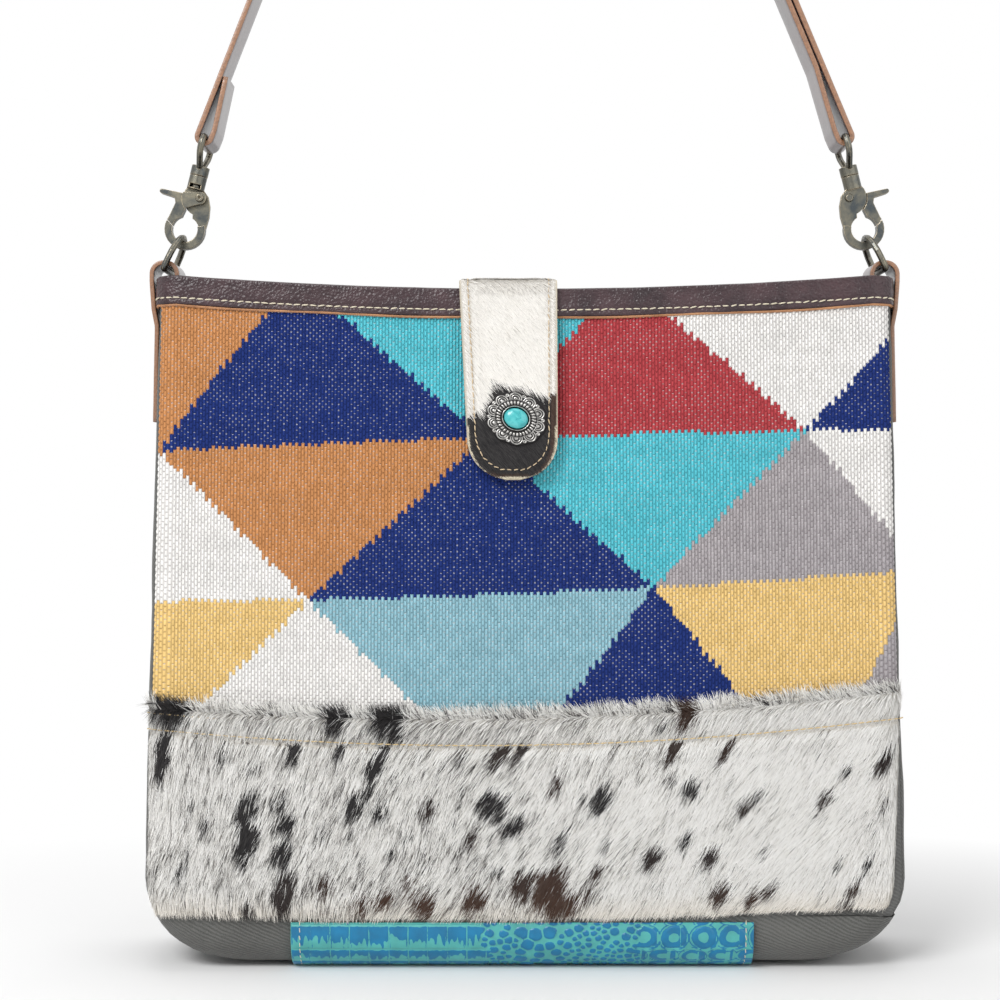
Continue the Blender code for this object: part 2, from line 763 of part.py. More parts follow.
def make_closure():
    path, hinge = tab_path()
    path = with_round_end(path)
    stack = TAB_BACKING + CLEARANCE
    post_place = next(
        (a + (b - a) * ((a.y - CONCHO_HEIGHT) / (a.y - b.y)), (b - a).normalized())
        for a, b in zip(path, path[1:])
        if a.x < 0 and a.y >= CONCHO_HEIGHT > b.y
    )
    here, along = post_place
    out = Vector((0, -along.y, along.x)).normalized()
    if out.y > 0:
        out = -out
    across = Vector((1, 0, 0))
    up = out.cross(across)
    seat = Matrix((across, up, out)).transposed().to_4x4()
    seat.translation = Vector((TAB_X + 0.0025, here.x, here.y))

    def holed(piece):
        cutter = rod("tab_hole", POST_RADIUS + CLEARANCE, -0.01, 0.01, None, segments=16)
        cutter.matrix_world = seat
        return boolean(piece, "DIFFERENCE", [cutter])

    outer = strip("closure_tab", path, tab_widths(path), stack, stack + TAB_HIDE, "hide")
    holed(outer)
    inner_path = path[1:]
    widths = tab_widths(path, BACKING_INSET)[1:]
    holed(strip("tab_backing", inner_path, widths, 0, TAB_BACKING, "tab_suede"))

    back_run = 5 - front_run(TAB_X)
    top = rim_point(back_run, CLEARANCE + BINDING, BINDING_FACE + CLEARANCE)
    anchor_path = [Vector((top.y, top.z))]
    for drop in spread(0, ANCHOR_LENGTH, 4)[1:]:
        place = rim_point(back_run, -drop, BINDING_FACE + CLEARANCE)
        anchor_path.append(Vector((place.y, place.z)))
    anchor_path.reverse()
    strip("tab_anchor", anchor_path, [TAB_TOP_WIDTH / 2] * 5, 0, ANCHOR, "hide")
    make_concho(seat, stack + TAB_HIDE + CLEARANCE)
    make_snap(seat)
    return hinge


def oval(length, width, steps, wave=0, waves=0):
    """Points of an oval outline, with an optional scalloped edge."""
    points = []
    for i in range(steps):
        angle = 2 * math.pi * i / steps
        swell = wave * abs(math.cos(waves * angle / 2)) - wave
        points.append(
            ((length / 2 + swell) * math.cos(angle), (width / 2 + swell) * math.sin(angle))
        )
    return points


def domed(name, outlines, finish):
    """A closed form through stacked outlines of as many points, each with its height."""
    bm = bmesh.new()
    rings = [[bm.verts.new((x, y, height)) for x, y in points] for points, height in outlines]
    for low_ring, high_ring in zip(rings, rings[1:]):
        for i in range(len(low_ring)):
            k = (i + 1) % len(low_ring)
            bm.faces.new((low_ring[i], low_ring[k], high_ring[k], high_ring[i]))
    bm.faces.new(rings[0])
    bm.faces.new(rings[-1])
    return add_object(name, mesh_from(bm, name), finish)


def make_concho(seat, rise):
    """The scalloped silver ornament with its rope border, its stone and its post."""
    steps = 4 * SCALLOPS
    plate_top = rise + CONCHO_PLATE
    border = 0.80

    def ring(share, height, wave=0.0):
        size = oval(CONCHO_LENGTH * share, CONCHO_WIDTH * share, steps, wave, SCALLOPS)
        return size, height

    body = domed(
        "concho",
        [
            ring(1, rise, SCALLOP_DEPTH),
            ring(1, rise + CONCHO_PLATE * 0.6, SCALLOP_DEPTH),
            ring(0.95, plate_top, SCALLOP_DEPTH * 0.6),
            ring(0.88, plate_top),
            ring(border, plate_top + ROPE_RADIUS),
            ring(0.72, plate_top),
            ring(0.56, rise + CONCHO_DOME),
            ring(0.44, rise + CONCHO_DOME),
            ring(0.42, plate_top),
        ],
        "silver",
    )
    post = rod("concho_post", POST_RADIUS, CLEARANCE, rise + CONCHO_PLATE / 2, "silver", segments=16)
    body = boolean(body, "UNION", [post])
    stone_steps = 24
    low = plate_top + CLEARANCE
    stone = domed(
        "concho_stone",
        [
            (oval(STONE_LENGTH * share, STONE_WIDTH * share, stone_steps), low + STONE_HEIGHT * height)
            for share, height in ((0.92, 0), (0.96, 0.3), (0.86, 0.62), (0.6, 0.88), (0.3, 1))
        ],
        "turquoise_stone",
    )
    turn = seat @ Matrix.Rotation(CONCHO_TURN, 4, "Z")
    body.matrix_world = turn
    stone.matrix_world = turn


def make_snap(seat):
    """The press stud: its socket behind the tab and its stud on the front."""
    top = -CLEARANCE
    socket = turned(
        "snap_socket",
        [
            (0, top),
            (SOCKET_RADIUS, top),
            (SOCKET_RADIUS, top - SOCKET_HEIGHT),
            (SOCKET_BORE, top - SOCKET_HEIGHT),
            (SOCKET_BORE, top - SOCKET_PLATE),
            (0, top - SOCKET_PLATE),
        ],
        "steel",
        24,
    )
    socket.matrix_world = seat
    seat_low = -(SNAP_STANDOFF + CLEARANCE + BINDING) + CLEARANCE
    stud = turned(
        "snap_stud",
        [
            (0, seat_low + STUD_HEIGHT),
            (STUD_RADIUS, seat_low + STUD_HEIGHT - 0.0004),
            (STUD_RADIUS, seat_low + STUD_FLANGE),
            (SOCKET_RADIUS, seat_low + STUD_FLANGE),
            (SOCKET_RADIUS, seat_low),
            (0, seat_low),
        ],
        "steel",
        24,
    )
    stud.matrix_world = seat


def bar_place():
    """Where a D-ring's bar lies in its loop, as x and z on the right."""
    middle = rim_point(2.5, 0, (WALL) / 2)
    loop_low = RIM_HEIGHT + CLEARANCE + BINDING
    return middle.x, loop_low + RING_WIRE + 0.0029


def make_side_tab(side, name):
    """A leather loop over the rim: outer leg, loop round the ring's bar, inner leg."""
    bar_x, bar_z = bar_place()
    half = SIDE_TAB / 2

    def leg(height, out):
        place = wall_point(2.5, level_of(height), out)
        return place.x, place.z

    outside, inside = BINDING_FACE + CLEARANCE + half, -CLEARANCE - BINDING - CLEARANCE - half
    below = RIM_HEIGHT - BINDING_DROP - SIDE_TAB_EASE
    top = bar_z + RING_WIRE + CLEARANCE + half
    outer_x = leg(RIM_HEIGHT, outside)[0] + SIDE_TAB_EASE
    inner_x = leg(RIM_HEIGHT, inside)[0] - SIDE_TAB_EASE
    corners = [
        (*leg(SIDE_TAB_LOW, WALL + CLEARANCE + half), 0),
        (*leg(below - 0.008, WALL + CLEARANCE + half), 0.010),
        (*leg(below, outside), 0.006),
        (outer_x, RIM_HEIGHT, 0.006),
        (outer_x, top, 0.0055),
        (inner_x, top, 0.0055),
        (inner_x, RIM_HEIGHT, 0.006),
        (*leg(below, inside), 0.006),
        (*leg(SIDE_TAB_INSIDE, -CLEARANCE - half), 0),
    ]
    corners = [(side * x, z, radius) for x, z, radius in corners]
    ribbon(name, rounded_path(corners, step=math.radians(24)), SIDE_TAB_WIDTH, SIDE_TAB, "strap_leather")


def ring_half():
    return SIDE_TAB_WIDTH / 2 + RING_PLAY + RING_WIRE


def make_d_ring(side, name):
    bar_x, bar_z = bar_place()
    half = ring_half()
    corners = [(-half, 0, RING_CORNER), (half, 0, RING_CORNER)]
    outline = [Vector(p) for p in arc((0, RING_STRAIGHT), half, 0, 180, 10)]
    low = rounded_path([(-half, RING_STRAIGHT, 0), *corners, (half, RING_STRAIGHT, 0)])
    loop = low[:-1] + outline[:-1]
    lean = Vector((-side * math.sin(RING_TILT), 0, math.cos(RING_TILT)))
    place = Vector((side * bar_x, 0, bar_z))
    wire(name, [place + Vector((0, p.x, 0)) + lean * p.y for p in loop], RING_WIRE, "brass", sides=2)


def swing_centre(side):
    """Centre of a D-ring's arc, which the strap swings about."""
    bar_x, bar_z = bar_place()
    return (
        side * (bar_x - RING_STRAIGHT * math.sin(RING_TILT)),
        bar_z + RING_STRAIGHT * math.cos(RING_TILT),
    )


def hook_frame(side):
    """Places a hook with its bow round the ring's arc. The left hook is the right one turned about."""
    x, z = swing_centre(side)
    reach = ring_half()
    lean = Vector((-side * math.sin(HOOK_TILT), 0, math.cos(HOOK_TILT)))
    arc_top = Vector((x - side * reach * math.sin(RING_TILT), 0, z + reach * math.cos(RING_TILT)))
    place = arc_top + lean * (BOW_INNER - RING_WIRE - RING_PLAY)
    outward = Vector((side * math.cos(HOOK_TILT), 0, math.sin(HOOK_TILT)))
    through = Vector((0, side, 0))
    frame = Matrix((outward, through, lean)).transposed().to_4x4()
    frame.translation = place
    return frame


def bow_angle(radius, reach):
    """The angle, in degrees, at which a circle round the bow meets an arc round the pivot."""
    distance = math.hypot(*PIVOT)
    bearing = math.degrees(math.atan2(PIVOT[1], PIVOT[0]))
    cosine = (radius**2 + distance**2 - reach**2) / (2 * radius * distance)
    return bearing - math.degrees(math.acos(cosine))


def make_hook_body(name):
    outer = BOW_INNER + BOW_LIMB
    half = HOOK_THICKNESS / 2
    nose = GATE_REACH + NOSE_GAP
    start_in, start_out = bow_angle(BOW_INNER, nose), bow_angle(outer, nose)
    shoulder = -205
    bow = plate(
        name,
        arc((0, 0), outer, start_out, shoulder, 18) + arc((0, 0), BOW_INNER, shoulder, start_in, 18),
        -half,
        half,
        "brass",
    )
    neck_side = NECK_RADIUS * 0.85
    outline = [(-neck_side, NECK_LOW + 0.001), (neck_side, NECK_LOW + 0.001)]
    outline += arc(PIVOT, PIVOT_SWEEP, 18, -78, 8)
    outline += arc((0, 0), BOW_INNER + PLATE_INSET, 108, 200, 8)
    outline += arc((0, 0), outer - PLATE_INSET, 200, 168, 4)
    outline += [(-0.0096, 0.0085), (-0.0088, 0.0135), (-0.0068, 0.0180)]
    body = plate("body_plate", outline, -half + PLATE_INSET, -PLATE_SPLIT, "brass")
    neck = rod("neck", NECK_RADIUS, NECK_LOW, NECK_TOP, "brass")
    body = boolean(bow, "UNION", [body, neck])
    bore = rod("bore", SWIVEL_PIN + CLEARANCE, POCKET_LOW, NECK_TOP + 0.001, None)
    pocket_half = SWIVEL_HEAD + CLEARANCE
    pocket_top = POCKET_TOP - POCKET_LOW
    pocket = block(
        "pocket",
        (2 * pocket_half, NECK_RADIUS + pocket_half + 0.001, pocket_top),
        (0, (NECK_RADIUS + 0.001 - pocket_half) / 2, (POCKET_TOP + POCKET_LOW) / 2),
        None,
    )
    hole = rod("hole", RIVET_RADIUS + CLEARANCE, -half - 0.001, half, None, "Y", PIVOT)
    return boolean(body, "DIFFERENCE", [bore, pocket, hole])


def make_gate(name):
    outer = BOW_INNER + BOW_LIMB
    half = HOOK_THICKNESS / 2
    tip_in, tip_out = bow_angle(BOW_INNER, GATE_REACH), bow_angle(outer, GATE_REACH)
    clear = PIVOT_SWEEP + CLEARANCE
    tip = arc((0, 0), outer, 24, tip_out, 3) + arc((0, 0), BOW_INNER, tip_in, 62, 6)
    lever_end = LEVER_THICKNESS / 2
    lever = arc((LEVER_LENGTH, LEVER_HEIGHT), lever_end, 95, -85, 6)
    arm_outline = arc(PIVOT, clear, -52, 2, 6) + lever + [(0.0083, 0.0136), (0.0074, 0.0112)] + tip
    arm = plate(name, arm_outline, -half, half, "brass")
    boss = arc(PIVOT, GATE_BOSS, 85, 262, 10)
    link = boss + [(0.0015, 0.0104), (0.0040, 0.0085), (0.0062, 0.0145), (0.0050, 0.0172)]
    cheek = plate("cheek", link, PLATE_SPLIT, half - PLATE_INSET, "brass")
    gate = boolean(arm, "UNION", [cheek])
    hole = rod("hole", RIVET_RADIUS + CLEARANCE, -half, half + 0.001, None, "Y", PIVOT)
    pocket = rod(
        "pocket",
        SPRING_RADIUS + SPRING_WIRE + CLEARANCE,
        -half,
        PLATE_SPLIT + SPRING_POCKET,
        None,
        "Y",
        PIVOT,
    )
    return boolean(gate, "DIFFERENCE", [hole, pocket])


def make_rivet(name):
    """A tubular rivet through the body plate and the gate, with its bore open at the gate's side."""
    face = HOOK_THICKNESS / 2 + CLEARANCE
    top = face + RIVET_HEAD_HEIGHT
    bore = RIVET_RADIUS * 0.55
    rivet = turned(
        name,
        [
            (0, top - 0.0015),
            (bore, top - 0.0015),
            (bore, top),
            (RIVET_HEAD * 0.8, top),
            (RIVET_HEAD, face + 0.0002),
            (RIVET_HEAD, face),
            (RIVET_RADIUS, face),
            (RIVET_RADIUS, -face),
            (RIVET_HEAD, -face),
            (RIVET_HEAD, -face - 0.0002),
            (RIVET_HEAD * 0.8, -top),
            (0, -top),
        ],
        "brass",
        14,
    )
    rivet.data.transform(
        Matrix.Translation((PIVOT[0], 0, PIVOT[1])) @ Matrix.Rotation(-math.pi / 2, 4, "X")
    )
    return rivet


def make_gate_spring(name):
    """A small torsion coil round the rivet, in the gate's pocket."""
    per_turn = 12
    steps = round(SPRING_TURNS * per_turn)
    low = PLATE_SPLIT + SPRING_WIRE + 0.0001
    high = PLATE_SPLIT + SPRING_POCKET - SPRING_WIRE - 0.0001
    points = []
    for i in range(steps + 1):
        angle = 2 * math.pi * i / per_turn
        points.append(
            (
                PIVOT[0] + SPRING_RADIUS * math.cos(angle),
                low + (high - low) * i / steps,
                PIVOT[1] + SPRING_RADIUS * math.sin(angle),
            )
        )
    return wire(name, points, SPRING_WIRE, "steel", closed=False, sides=0)


def make_swivel_eye(name):
    """The eye above the hook: a loop for the strap, a block and a pin riveted in the neck."""
    block_low = NECK_TOP + CLEARANCE
    block_top = block_low + EYE_BLOCK
    half = STRAP_WIDTH / 2 + STRAP_PLAY + EYE_WIRE
    shoulder = EYE_REACH - EYE_SHOULDER
    foot = block_top - EYE_WIRE / 2
    outline = rounded_path(
        [
            (-half, EYE_REACH, 0.0035),
            (half, EYE_REACH, 0.0035),
            (half, shoulder, 0.0060),
            (0.0032, foot, 0.0025),
            (-0.0032, foot, 0.0025),
            (-half, shoulder, 0.0060),
        ],
        closed=True,
    )
    loop = wire(name, [(0, p.x, p.y) for p in outline], EYE_WIRE, "brass", sides=2)
    foot_block = rod("foot", NECK_RADIUS + 0.0001, block_low, block_top, "brass")
    pin = rod("pin", SWIVEL_PIN, POCKET_TOP - CLEARANCE - 0.0004, block_low + 0.001, "brass")
    head = rod("head", SWIVEL_HEAD, POCKET_LOW + CLEARANCE, POCKET_TOP - CLEARANCE, "brass")
    return boolean(loop, "UNION", [foot_block, pin, head])


def eye_bar(side):
    """Where the eye's bar lies, as x and z."""
    place = hook_frame(side) @ Vector((0, 0, EYE_REACH))
    return Vector((place.x, place.z))


def make_strap():
    """The strap's own line in XZ, from the short sewn end on the left to the sewn end on the right."""
    left, right = eye_bar(-1), eye_bar(1)
    rise_left = Vector((STRAP_LEFT_SLOPE, 1)).normalized()
    rise_right = Vector((-STRAP_RIGHT_SLOPE, 1)).normalized()
    in_left = Vector((rise_left.y, -rise_left.x))
    out_right = Vector((rise_right.y, -rise_right.x))
    bend = STRAP_LOOP
    layer = STRAP + CLEARANCE

    def at(point, radius=0.0):
        return point.x, point.y, radius

    start = left - in_left * bend
    finish = right + out_right * bend
    # the two legs meet above, and the strap rounds over there
    width = finish - start
    span = width.x * rise_right.y - width.y * rise_right.x
    reach = span / (rise_left.x * rise_right.y - rise_left.y * rise_right.x)
    apex = start + rise_left * reach
    end_left = start + rise_left * STRAP_LEFT_END + in_left * layer
    end_right = finish + rise_right * STRAP_RIGHT_END - out_right * layer
    above_loop = 0.012
    parted = STRAP + STRAP_LAYER_GAP
    corners = [
        at(end_left),
        at(left + rise_left * above_loop * 0.4 + in_left * bend, 0.008),
        at(left - rise_left * bend + in_left * bend, bend),
        at(left - rise_left * bend - in_left * bend, bend),
        at(apex, STRAP_TOP_RADIUS),
        at(right - rise_right * bend + out_right * bend, bend),
        at(right - rise_right * bend - out_right * bend, bend),
        at(right + rise_right * above_loop * 0.4 - out_right * bend, 0.008),
        at(finish + rise_right * above_loop * 3 - out_right * parted, 0.020),
        at(finish + rise_right * (STRAP_RIGHT_END - 0.02) - out_right * parted, 0.020),
        at(end_right),
    ]
    ribbon("strap", rounded_path(corners, step=math.radians(16)), STRAP_WIDTH, STRAP, "strap_leather")


def place_in(frame, pieces):
    """Sets pieces modelled in a hook's own frame into the bag."""
    for piece in pieces:
        piece.matrix_world = frame @ piece.matrix_world


def make_carriers():
    for side, word in ((-1, "left"), (1, "right")):
        make_side_tab(side, f"side_tab_{word}")
        make_d_ring(side, f"d_ring_{word}")
        place_in(
            hook_frame(side),
            [
                make_hook_body(f"hook_body_{word}"),
                make_gate(f"gate_{word}"),
                make_rivet(f"gate_rivet_{word}"),
                make_gate_spring(f"gate_spring_{word}"),
                make_swivel_eye(f"swivel_eye_{word}"),
            ],
        )
    make_strap()


def axis_empty(name, place, words):
    """An empty on a joint's axis, which carries the pieces that turn about it."""
    empty = bpy.data.objects.new(name, None)
    empty.empty_display_size = 0.01
    empty.location = place
    bag.objects.link(empty)
    bpy.context.view_layer.update()
    for word in words:
        piece = bpy.data.objects[word]
        placed = piece.matrix_world.copy()
        piece.parent = empty
        piece.matrix_world = placed


def hang_on_axes(tab_hinge):
    axis_empty(
        "closure_axis",
        (TAB_X, *tab_hinge),
        ["closure_tab", "tab_backing", "concho", "concho_stone", "snap_socket"],
    )
    bar_x, bar_z = bar_place()
    for side, word in ((-1, "left"), (1, "right")):
        axis_empty(f"ring_axis_{word}", (side * bar_x, 0, bar_z), [f"d_ring_{word}"])
        frame = hook_frame(side)
        pivot = frame @ Vector((PIVOT[0], 0, PIVOT[1]))
        axis_empty(f"gate_axis_{word}", pivot, [f"gate_{word}"])
        axis_empty(
            f"hook_axis_{word}",
            frame.translation,
            [f"hook_body_{word}", f"gate_rivet_{word}", f"gate_spring_{word}", f"gate_axis_{word}"],
        )
    axis_empty(
        "strap_axis",
        (0, 0, swing_centre(1)[1]),
        ["strap", "swivel_eye_left", "swivel_eye_right", "hook_axis_left", "hook_axis_right"],
    )


clear_scene()
bag = make_collection("kilim_hide_bag")
make_lining()
make_base_panel()
make_walls()
make_base_patch()
make_binding()
tab_hinge = make_closure()
make_carriers()
hang_on_axes(tab_hinge)
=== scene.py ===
import json
import math
import random
from functools import partial

import bpy
from mathutils import Matrix, Vector, kdtree, noise

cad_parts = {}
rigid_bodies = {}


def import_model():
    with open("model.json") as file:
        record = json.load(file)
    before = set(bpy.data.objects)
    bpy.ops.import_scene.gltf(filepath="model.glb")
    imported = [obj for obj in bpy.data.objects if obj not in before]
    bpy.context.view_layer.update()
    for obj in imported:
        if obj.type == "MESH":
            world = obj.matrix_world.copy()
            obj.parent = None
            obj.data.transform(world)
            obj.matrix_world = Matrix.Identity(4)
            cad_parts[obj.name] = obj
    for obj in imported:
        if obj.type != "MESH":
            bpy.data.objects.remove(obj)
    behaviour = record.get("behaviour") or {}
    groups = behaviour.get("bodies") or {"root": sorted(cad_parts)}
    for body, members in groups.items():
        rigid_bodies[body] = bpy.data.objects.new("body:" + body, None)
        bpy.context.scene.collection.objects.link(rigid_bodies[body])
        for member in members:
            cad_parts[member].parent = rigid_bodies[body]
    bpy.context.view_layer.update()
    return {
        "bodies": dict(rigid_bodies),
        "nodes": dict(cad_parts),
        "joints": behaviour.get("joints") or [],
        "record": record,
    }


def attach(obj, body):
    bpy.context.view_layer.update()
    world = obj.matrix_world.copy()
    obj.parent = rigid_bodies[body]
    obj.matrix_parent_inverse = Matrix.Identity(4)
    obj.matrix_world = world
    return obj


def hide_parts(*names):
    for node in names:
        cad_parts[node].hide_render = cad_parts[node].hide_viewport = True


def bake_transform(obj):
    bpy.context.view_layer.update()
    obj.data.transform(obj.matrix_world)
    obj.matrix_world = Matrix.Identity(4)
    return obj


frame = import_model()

cadNodes = frame["nodes"]

# the wall's own measures, the same as the frame's, in metres
wall = {
    "baseWidth": 0.358, "topWidth": 0.346, "baseDepth": 0.074, "topDepth": 0.040,
    "rim": 0.3208, "rimSag": 0.0065, "belly": 0.004, "edgeRadius": 0.012,
    "frontFlat": 0.32712, "cornerRun": 0.045, "cornerRise": 0.036, "cornerShare": 0.36,
    "thickness": 0.0035, "gap": 0.0003, "floorLift": 0.0053,
    "binding": 0.0014, "bindingDrop": 0.0120, "frontEdge": 0.6,
}
bindingFace = wall["thickness"] + wall["gap"] + wall["binding"]
innerRim = wall["rim"] - wall["floorLift"]


# camera, light and floor

cameraSetup = {"place": (-0.0117, -0.885, 0.217), "lens": 66.3, "sensor": 36, "skyLight": 0.48}
lamps = {
    "key": {"place": (-0.9, -1.3, 1.5), "aim": (0, 0, 0.25), "size": 1.0, "power": 27},
    "fill": {"place": (1.2, -1.2, 0.7), "aim": (0, 0, 0.25), "size": 1.6, "power": 6},
    "top": {"place": (0.0, 0.25, 1.5), "aim": (0, 0, 0.2), "size": 1.2, "power": 7},
}


def aimAt(thing, target):
    thing.rotation_euler = (Vector(target) - thing.location).to_track_quat("-Z", "Y").to_euler()


def makeCamera():
    data = bpy.data.cameras.new("camera")
    data.lens, data.sensor_width = cameraSetup["lens"], cameraSetup["sensor"]
    data.clip_start = 0.01
    camera = bpy.data.objects.new("camera", data)
    camera.location = cameraSetup["place"]
    camera.rotation_euler = (math.pi / 2, 0, 0)
    bpy.context.scene.collection.objects.link(camera)
    bpy.context.scene.camera = camera


def makeLamps():
    for name, lamp in lamps.items():
        data = bpy.data.lights.new(name, "AREA")
        data.shape, data.size, data.energy = "DISK", lamp["size"], lamp["power"]
        thing = bpy.data.objects.new(name, data)
        thing.location = lamp["place"]
        bpy.context.scene.collection.objects.link(thing)
        aimAt(thing, lamp["aim"])


def makeWorld():
    # the white that the camera and reflections see is apart from what lights the bag
    world = bpy.data.worlds.new("studio")
    bpy.context.scene.world = world
    world.use_nodes = True
    world.node_tree.nodes.clear()
    building["tree"] = world.node_tree
    path = add("LightPath").outputs
    backs = [filled(add("Background"), (1, 1, 1, 1), strength) for strength in (cameraSetup["skyLight"], 1.0)]
    mix = filled(add("MixShader"), calc("MAXIMUM", path["Is Camera Ray"], path["Is Glossy Ray"]), *backs)
    feed(mix, add("OutputWorld").inputs[0])


def makeFloor():
    floor = bpy.data.meshes.new("floor")
    floor.from_pydata([(-6, -4, 0), (6, -4, 0), (6, 8, 0), (-6, 8, 0)], [], [(0, 1, 2, 3)])
    thing = bpy.data.objects.new("floor", floor)
    bpy.context.scene.collection.objects.link(thing)
    mat, into = newMaterial("floorWhite", 0.9)
    into["Base Color"].default_value = (0.86, 0.86, 0.86, 1)
    # far from the bag the camera sees plain white; the shadow under the bag stays
    place = add("NewGeometry").outputs["Position"]
    shown = ramp(vectorCalc("LENGTH", mul(place, (1, 1.6, 1))), [(0.22, 0), (0.55, 1)])
    camera = add("LightPath").outputs["Is Camera Ray"]
    glow = add("Emission")
    glow.inputs["Strength"].default_value = 1
    nodes = mat.node_tree.nodes
    mix = filled(add("MixShader"), times(shown, camera), nodes["Principled BSDF"].outputs[0], glow.outputs[0])
    feed(mix, nodes["Material Output"].inputs[0])
    floor.materials.append(mat)


# node helpers


building = {"tree": None}  # the node tree that the helpers add to


def feed(value, socket):
    if isinstance(value, bpy.types.NodeSocket):
        socket.id_data.links.new(value, socket)
    elif value is not None:
        socket.default_value = value


def add(kind, prefix="ShaderNode", **settings):
    made = building["tree"].nodes.new(prefix + kind)
    for name, value in settings.items():
        setattr(made, name, value)
    return made


def filled(made, *values):
    for socket, value in zip(made.inputs, values):
        feed(value, socket)
    return made.outputs[0]


def calc(operation, *values):
    return filled(add("Math", operation=operation), *values)


scaled, times, plus, minus, power = (
    partial(calc, operation) for operation in ("MULTIPLY_ADD", "MULTIPLY", "ADD", "SUBTRACT", "POWER"))


def vectorCalc(operation, *values):
    made = add("VectorMath", operation=operation)
    filled(made, *values)
    return made.outputs["Value"]


def mul(vector, scale):
    return filled(add("VectorMath", operation="MULTIPLY"), vector, scale)


def ramp(factor, stops, mode="LINEAR"):
    # colour stops, or plain values for a mask
    made = add("ValToRGB")
    made.color_ramp.interpolation = mode
    points = made.color_ramp.elements
    while len(points) < len(stops):
        points.new(1)
    for point, (place, value) in zip(points, stops):
        point.position = place
        point.color = (*value, 1) if isinstance(value, tuple) else (value, value, value, 1)
    feed(factor, made.inputs[0])
    return made.outputs[0]


def mixed(factor, first, second, blend="MIX"):
    made = add("Mix", data_type="RGBA", blend_type=blend)
    for value, socket in ((factor, made.inputs[0]), (first, made.inputs[6]), (second, made.inputs[7])):
        feed((*value, 1) if isinstance(value, tuple) and len(value) == 3 else value, socket)
    return made.outputs[2]


def wired(made, **values):
    # feeds the sockets of these names, where an underscore stands for a space
    for name, value in values.items():
        feed(value, made.inputs[name.replace("_", " ")])
    return made.outputs


def noiseAt(vector, scale, detail=2, rough=0.5, warp=0):
    return wired(add("TexNoise"), Vector=vector, Scale=scale, Detail=detail, Roughness=rough, Distortion=warp)[0]


def bumped(height, distance, strength=1, normal=None):
    return wired(add("Bump"), Distance=distance, Strength=strength, Height=height, Normal=normal)[0]


def partsOf(vector):
    made = add("SeparateXYZ")
    feed(vector, made.inputs[0])
    return made.outputs


def vectorOf(x, y, z):
    return filled(add("CombineXYZ"), x, y, z)


def toned(colour, share):
    return tuple(part * share for part in colour)


def objectPlace():
    return add("TexCoord").outputs["Object"]


def attribute(name, output="Fac"):
    return add("Attribute", attribute_name=name).outputs[output]


def newMaterial(name, roughness, metallic=0.0):
    mat = bpy.data.materials.new(name)
    mat.use_nodes = True
    building["tree"] = mat.node_tree
    into = mat.node_tree.nodes["Principled BSDF"].inputs
    into["Roughness"].default_value = roughness
    into["Metallic"].default_value = metallic
    return mat, into


def newGroup(name, inputs, outputs, kind="ShaderNodeTree"):
    # inputs are numbers by their default, vectors with none, or a named kind of socket
    group = building["tree"] = bpy.data.node_groups.new(name, kind)
    for socket, value in inputs.items():
        sort = {float: "Float", int: "Int", type(None): "Vector"}.get(type(value), value)
        made = group.interface.new_socket(socket, in_out="INPUT", socket_type=f"NodeSocket{sort}")
        if isinstance(value, (float, int)):
            made.default_value = value
    for socket, sort in outputs.items():
        group.interface.new_socket(socket, in_out="OUTPUT", socket_type="NodeSocket" + sort)
    return group, group.nodes.new("NodeGroupInput").outputs, group.nodes.new("NodeGroupOutput").inputs


def useGroup(group, **values):
    return wired(add("Group", node_tree=group), **values)


# shared finishes


def makeTwillGroup():
    # slanting ribs of the canvas, uneven and broken, with the fine specks of its mixed yarn
    group, given, out = newGroup("twill", {"Along": None, "Pitch": 0.0016}, {"Height": "Float", "Speck": "Float"})
    across, up = partsOf(given["Along"])[:2]
    wobble = times(noiseAt(given["Along"], 110, 3), 0.0016)
    slope = plus(scaled(across, 0.45, times(up, 0.9)), wobble)
    phase = times(calc("DIVIDE", slope, given["Pitch"]), 2 * math.pi)
    faint = noiseAt(given["Along"], 420, 2, 0.6)
    rib = times(scaled(calc("SINE", phase), 0.5, 0.5), scaled(faint, 1.2, 0.2))
    yarn = noiseAt(given["Along"], 1900, 2, 0.75)
    feed(scaled(yarn, 0.6, rib), out["Height"])
    feed(scaled(yarn, 1.0, times(rib, 0.32)), out["Speck"])
    return group


def makeGrainGroup():
    # fine pores and soft creases of smooth leather
    group, given, out = newGroup("grain", {"Along": None, "Scale": 900.0}, {"Height": "Float", "Tone": "Float"})
    cells = wired(add("TexVoronoi", feature="SMOOTH_F1"), Vector=given["Along"], Scale=given["Scale"])
    crease = noiseAt(given["Along"], 140, 4, 0.6, 0.6)
    feed(scaled(crease, 1.6, cells["Distance"]), out["Height"])
    feed(noiseAt(given["Along"], 45, 5, 0.65), out["Tone"])
    return group


def makeWearGroup():
    # bright where an edge is rubbed, with a patina that changes at random
    group, given, out = newGroup("wear", {"Width": 0.0006}, {"Edge": "Float", "Normal": "Vector", "Patina": "Float"})
    soft = wired(add("Bevel", samples=6), Radius=given["Width"])[0]
    flat = add("NewGeometry").outputs["Normal"]
    same = vectorCalc("DOT_PRODUCT", soft, flat)
    place = objectPlace()
    patchy = noiseAt(place, 260, 4, 0.6)
    edge = times(minus(1, same), times(patchy, 9))
    feed(calc("MINIMUM", edge, 1), out["Edge"])
    feed(soft, out["Normal"])
    feed(noiseAt(place, 90, 5, 0.7, 0.5), out["Patina"])
    return group


twillGroup, grainGroup, wearGroup = makeTwillGroup(), makeGrainGroup(), makeWearGroup()


